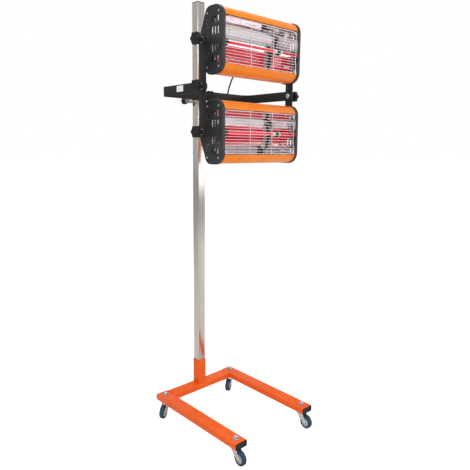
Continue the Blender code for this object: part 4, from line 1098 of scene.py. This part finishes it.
def heads():
    """Both heads from one set of patterns."""
    cap, screws, skin, mirror = end_cap(), cap_screws(), shell(), trough()
    tube, ceramics, coil = tube_set()
    holder, cage = clip(), wire_guard()
    flip = Matrix.Scale(-1, 4, (1.0, 0.0, 0.0))
    for level, step in LEVELS:
        head = f"{level}_head"
        here = at(0.0, PIVOT_Y, AXIS + step)
        inside = here @ at(TUBE_OFFSET)
        for side, place, out in (("left", here, -CLIP_STEP), ("right", here @ flip, CLIP_STEP)):
            end = f"{head}_{side}"
            hold = here @ at(TUBE_OFFSET + out)
            dress(copied(cap, f"{end}_moulding", place), BLACK_ABS, head, "black_plastic", f"{end}_cap")
            dress(copied(screws, f"{end}_screws", place), ZINC_PLATE, head, "zinc")
            dress(copied(holder, f"{end}_clip", hold), BLACK_POWDER, head, "black_coat", f"{end}_tube_clip")
        dress(copied(skin, f"{head}_shell", here), AMBER_LACQUER, head, "head_coat", f"{head}_housing")
        dress(copied(mirror, f"{head}_trough", here), ROLLED_MIRROR, head, "mirror", f"{head}_reflector")
        dress(copied(tube, f"{head}_tube", inside), RUBY_QUARTZ, head, "quartz", f"{head}_quartz_tube")
        dress(copied(ceramics, f"{head}_ceramics", inside), STEATITE, head, "hub_grey")
        dress(copied(coil, f"{head}_filament", inside), TUNGSTEN, head, "zinc")
        dress(copied(cage, f"{head}_cage", here), GUARD_NICKEL, head, "stainless", f"{head}_guard")
    drop(cap, screws, skin, mirror, tube, ceramics, coil, holder, cage)


# Studio

WHITE = (1.0, 1.0, 1.0, 1.0)
# Each soft lamp's name, place, width and power, and the point on the post that all of them face
LAMPS = (
    ("key", (-2.6, -2.4, 3.0), 2.2, 66.0),
    ("fill", (2.6, -2.6, 2.0), 2.4, 36.0),
    ("top", (0.2, 0.6, 4.2), 2.6, 66.0))
LAMP_AIM = Vector((0.0, 0.0, 1.1))


def seen(tree):
    """One for rays that the camera sends, straight or through glass, and zero for light on the object."""
    path = add(tree, "ShaderNodeLightPath")
    rays = {0: path.outputs["Is Camera Ray"], 1: path.outputs["Is Transmission Ray"]}
    return add(tree, "ShaderNodeMath", rays, operation="ADD", use_clamp=True).outputs[0]


def mirrored(tree):
    """One for rays that a glossy surface sends."""
    return add(tree, "ShaderNodeLightPath").outputs["Is Glossy Ray"]


def stage_material():
    """A pale floor that keeps a soft shadow: a matt white, lifted for the camera and through glass."""
    material, tree, shader, place = surface("pale_floor", Roughness=0.9)
    tones(tree, shader, place, "#EDEDED", "#F2F2F2", 0.5)
    lift = add(tree, "ShaderNodeMath", {0: seen(tree), 1: 0.62}, operation="MULTIPLY")
    shader.inputs["Emission Color"].default_value = WHITE
    tree.links.new(lift.outputs[0], shader.inputs["Emission Strength"])
    return material


def studio():
    """The floor, the world and three soft lamps."""
    object_mode()
    width, below = 120.0, 0.0006
    bpy.ops.mesh.primitive_plane_add(size=width, location=(0.0, 0.0, -below))
    floor = settled("studio_floor")
    floor.data.materials.append(stage_material())
    world = bpy.data.worlds.new("studio_white")
    bpy.context.scene.world = world
    world.use_nodes = True
    tree = world.node_tree
    level = add(tree, "ShaderNodeMapRange", {"Value": mirrored(tree), "To Min": 0.5, "To Max": 0.62})
    level = add(tree, "ShaderNodeMath", {0: level.outputs["Result"], 1: seen(tree)}, operation="MAXIMUM")
    shade = tree.nodes["Background"]
    shade.inputs["Color"].default_value = WHITE
    tree.links.new(level.outputs[0], shade.inputs["Strength"])
    for name, place, size, power in LAMPS:
        lamp = bpy.data.lights.new(name, "AREA")
        lamp.size = size
        lamp.energy = power
        item = bpy.data.objects.new(name, lamp)
        bpy.context.scene.collection.objects.link(item)
        item.location = place
        item.rotation_euler = (LAMP_AIM - Vector(place)).to_track_quat("-Z", "Y").to_euler()


def camera():
    """The photograph's own viewpoint, from the front left a little above the middle."""
    lens = bpy.data.cameras.new("photo_camera")
    lens.lens = 38.29
    lens.sensor_width = 36.0
    lens.clip_end = 200.0
    item = bpy.data.objects.new("photo_camera", lens)
    bpy.context.scene.collection.objects.link(item)
    right = Vector((0.73536, -0.67762, 0.00885))
    up = Vector((0.11023, 0.13248, 0.98504))
    back = Vector((-0.66865, -0.72338, 0.17212))
    turn = Matrix((right, up, back)).transposed().to_4x4()
    place = at(-1.44069, POST_Y - 1.80616, BASE_TOP + 1.13648)
    item.matrix_world = place @ turn
    bpy.context.scene.camera = item


def finish_hidden():
    """Give every CAD node that stays in the model its finish too."""
    looks = {
        "base_coat": ORANGE_POWDER, "head_coat": AMBER_LACQUER, "black_coat": BLACK_POWDER,
        "black_plastic": BLACK_ABS, "stainless": STAINLESS, "zinc": ZINC_PLATE, "tread": SLATE_RUBBER,
        "hub_grey": PALE_POLYPROPYLENE, "mirror": ROLLED_MIRROR, "quartz": RUBY_QUARTZ, "lead_black": BLACK_PVC}
    for part in frame["record"]["subparts"]:
        node = frame["nodes"][part["node"]]
        node.data.materials.clear()
        node.data.materials.append(looks[part["material_slot"]])


camera()
lead()
finish_hidden()
base_frame()
end_plugs()
casters()
post()
knobs()
u_bracket()
side_bars()
collar()
heads()
studio()
bpy.context.scene.view_settings.view_transform = "Standard"
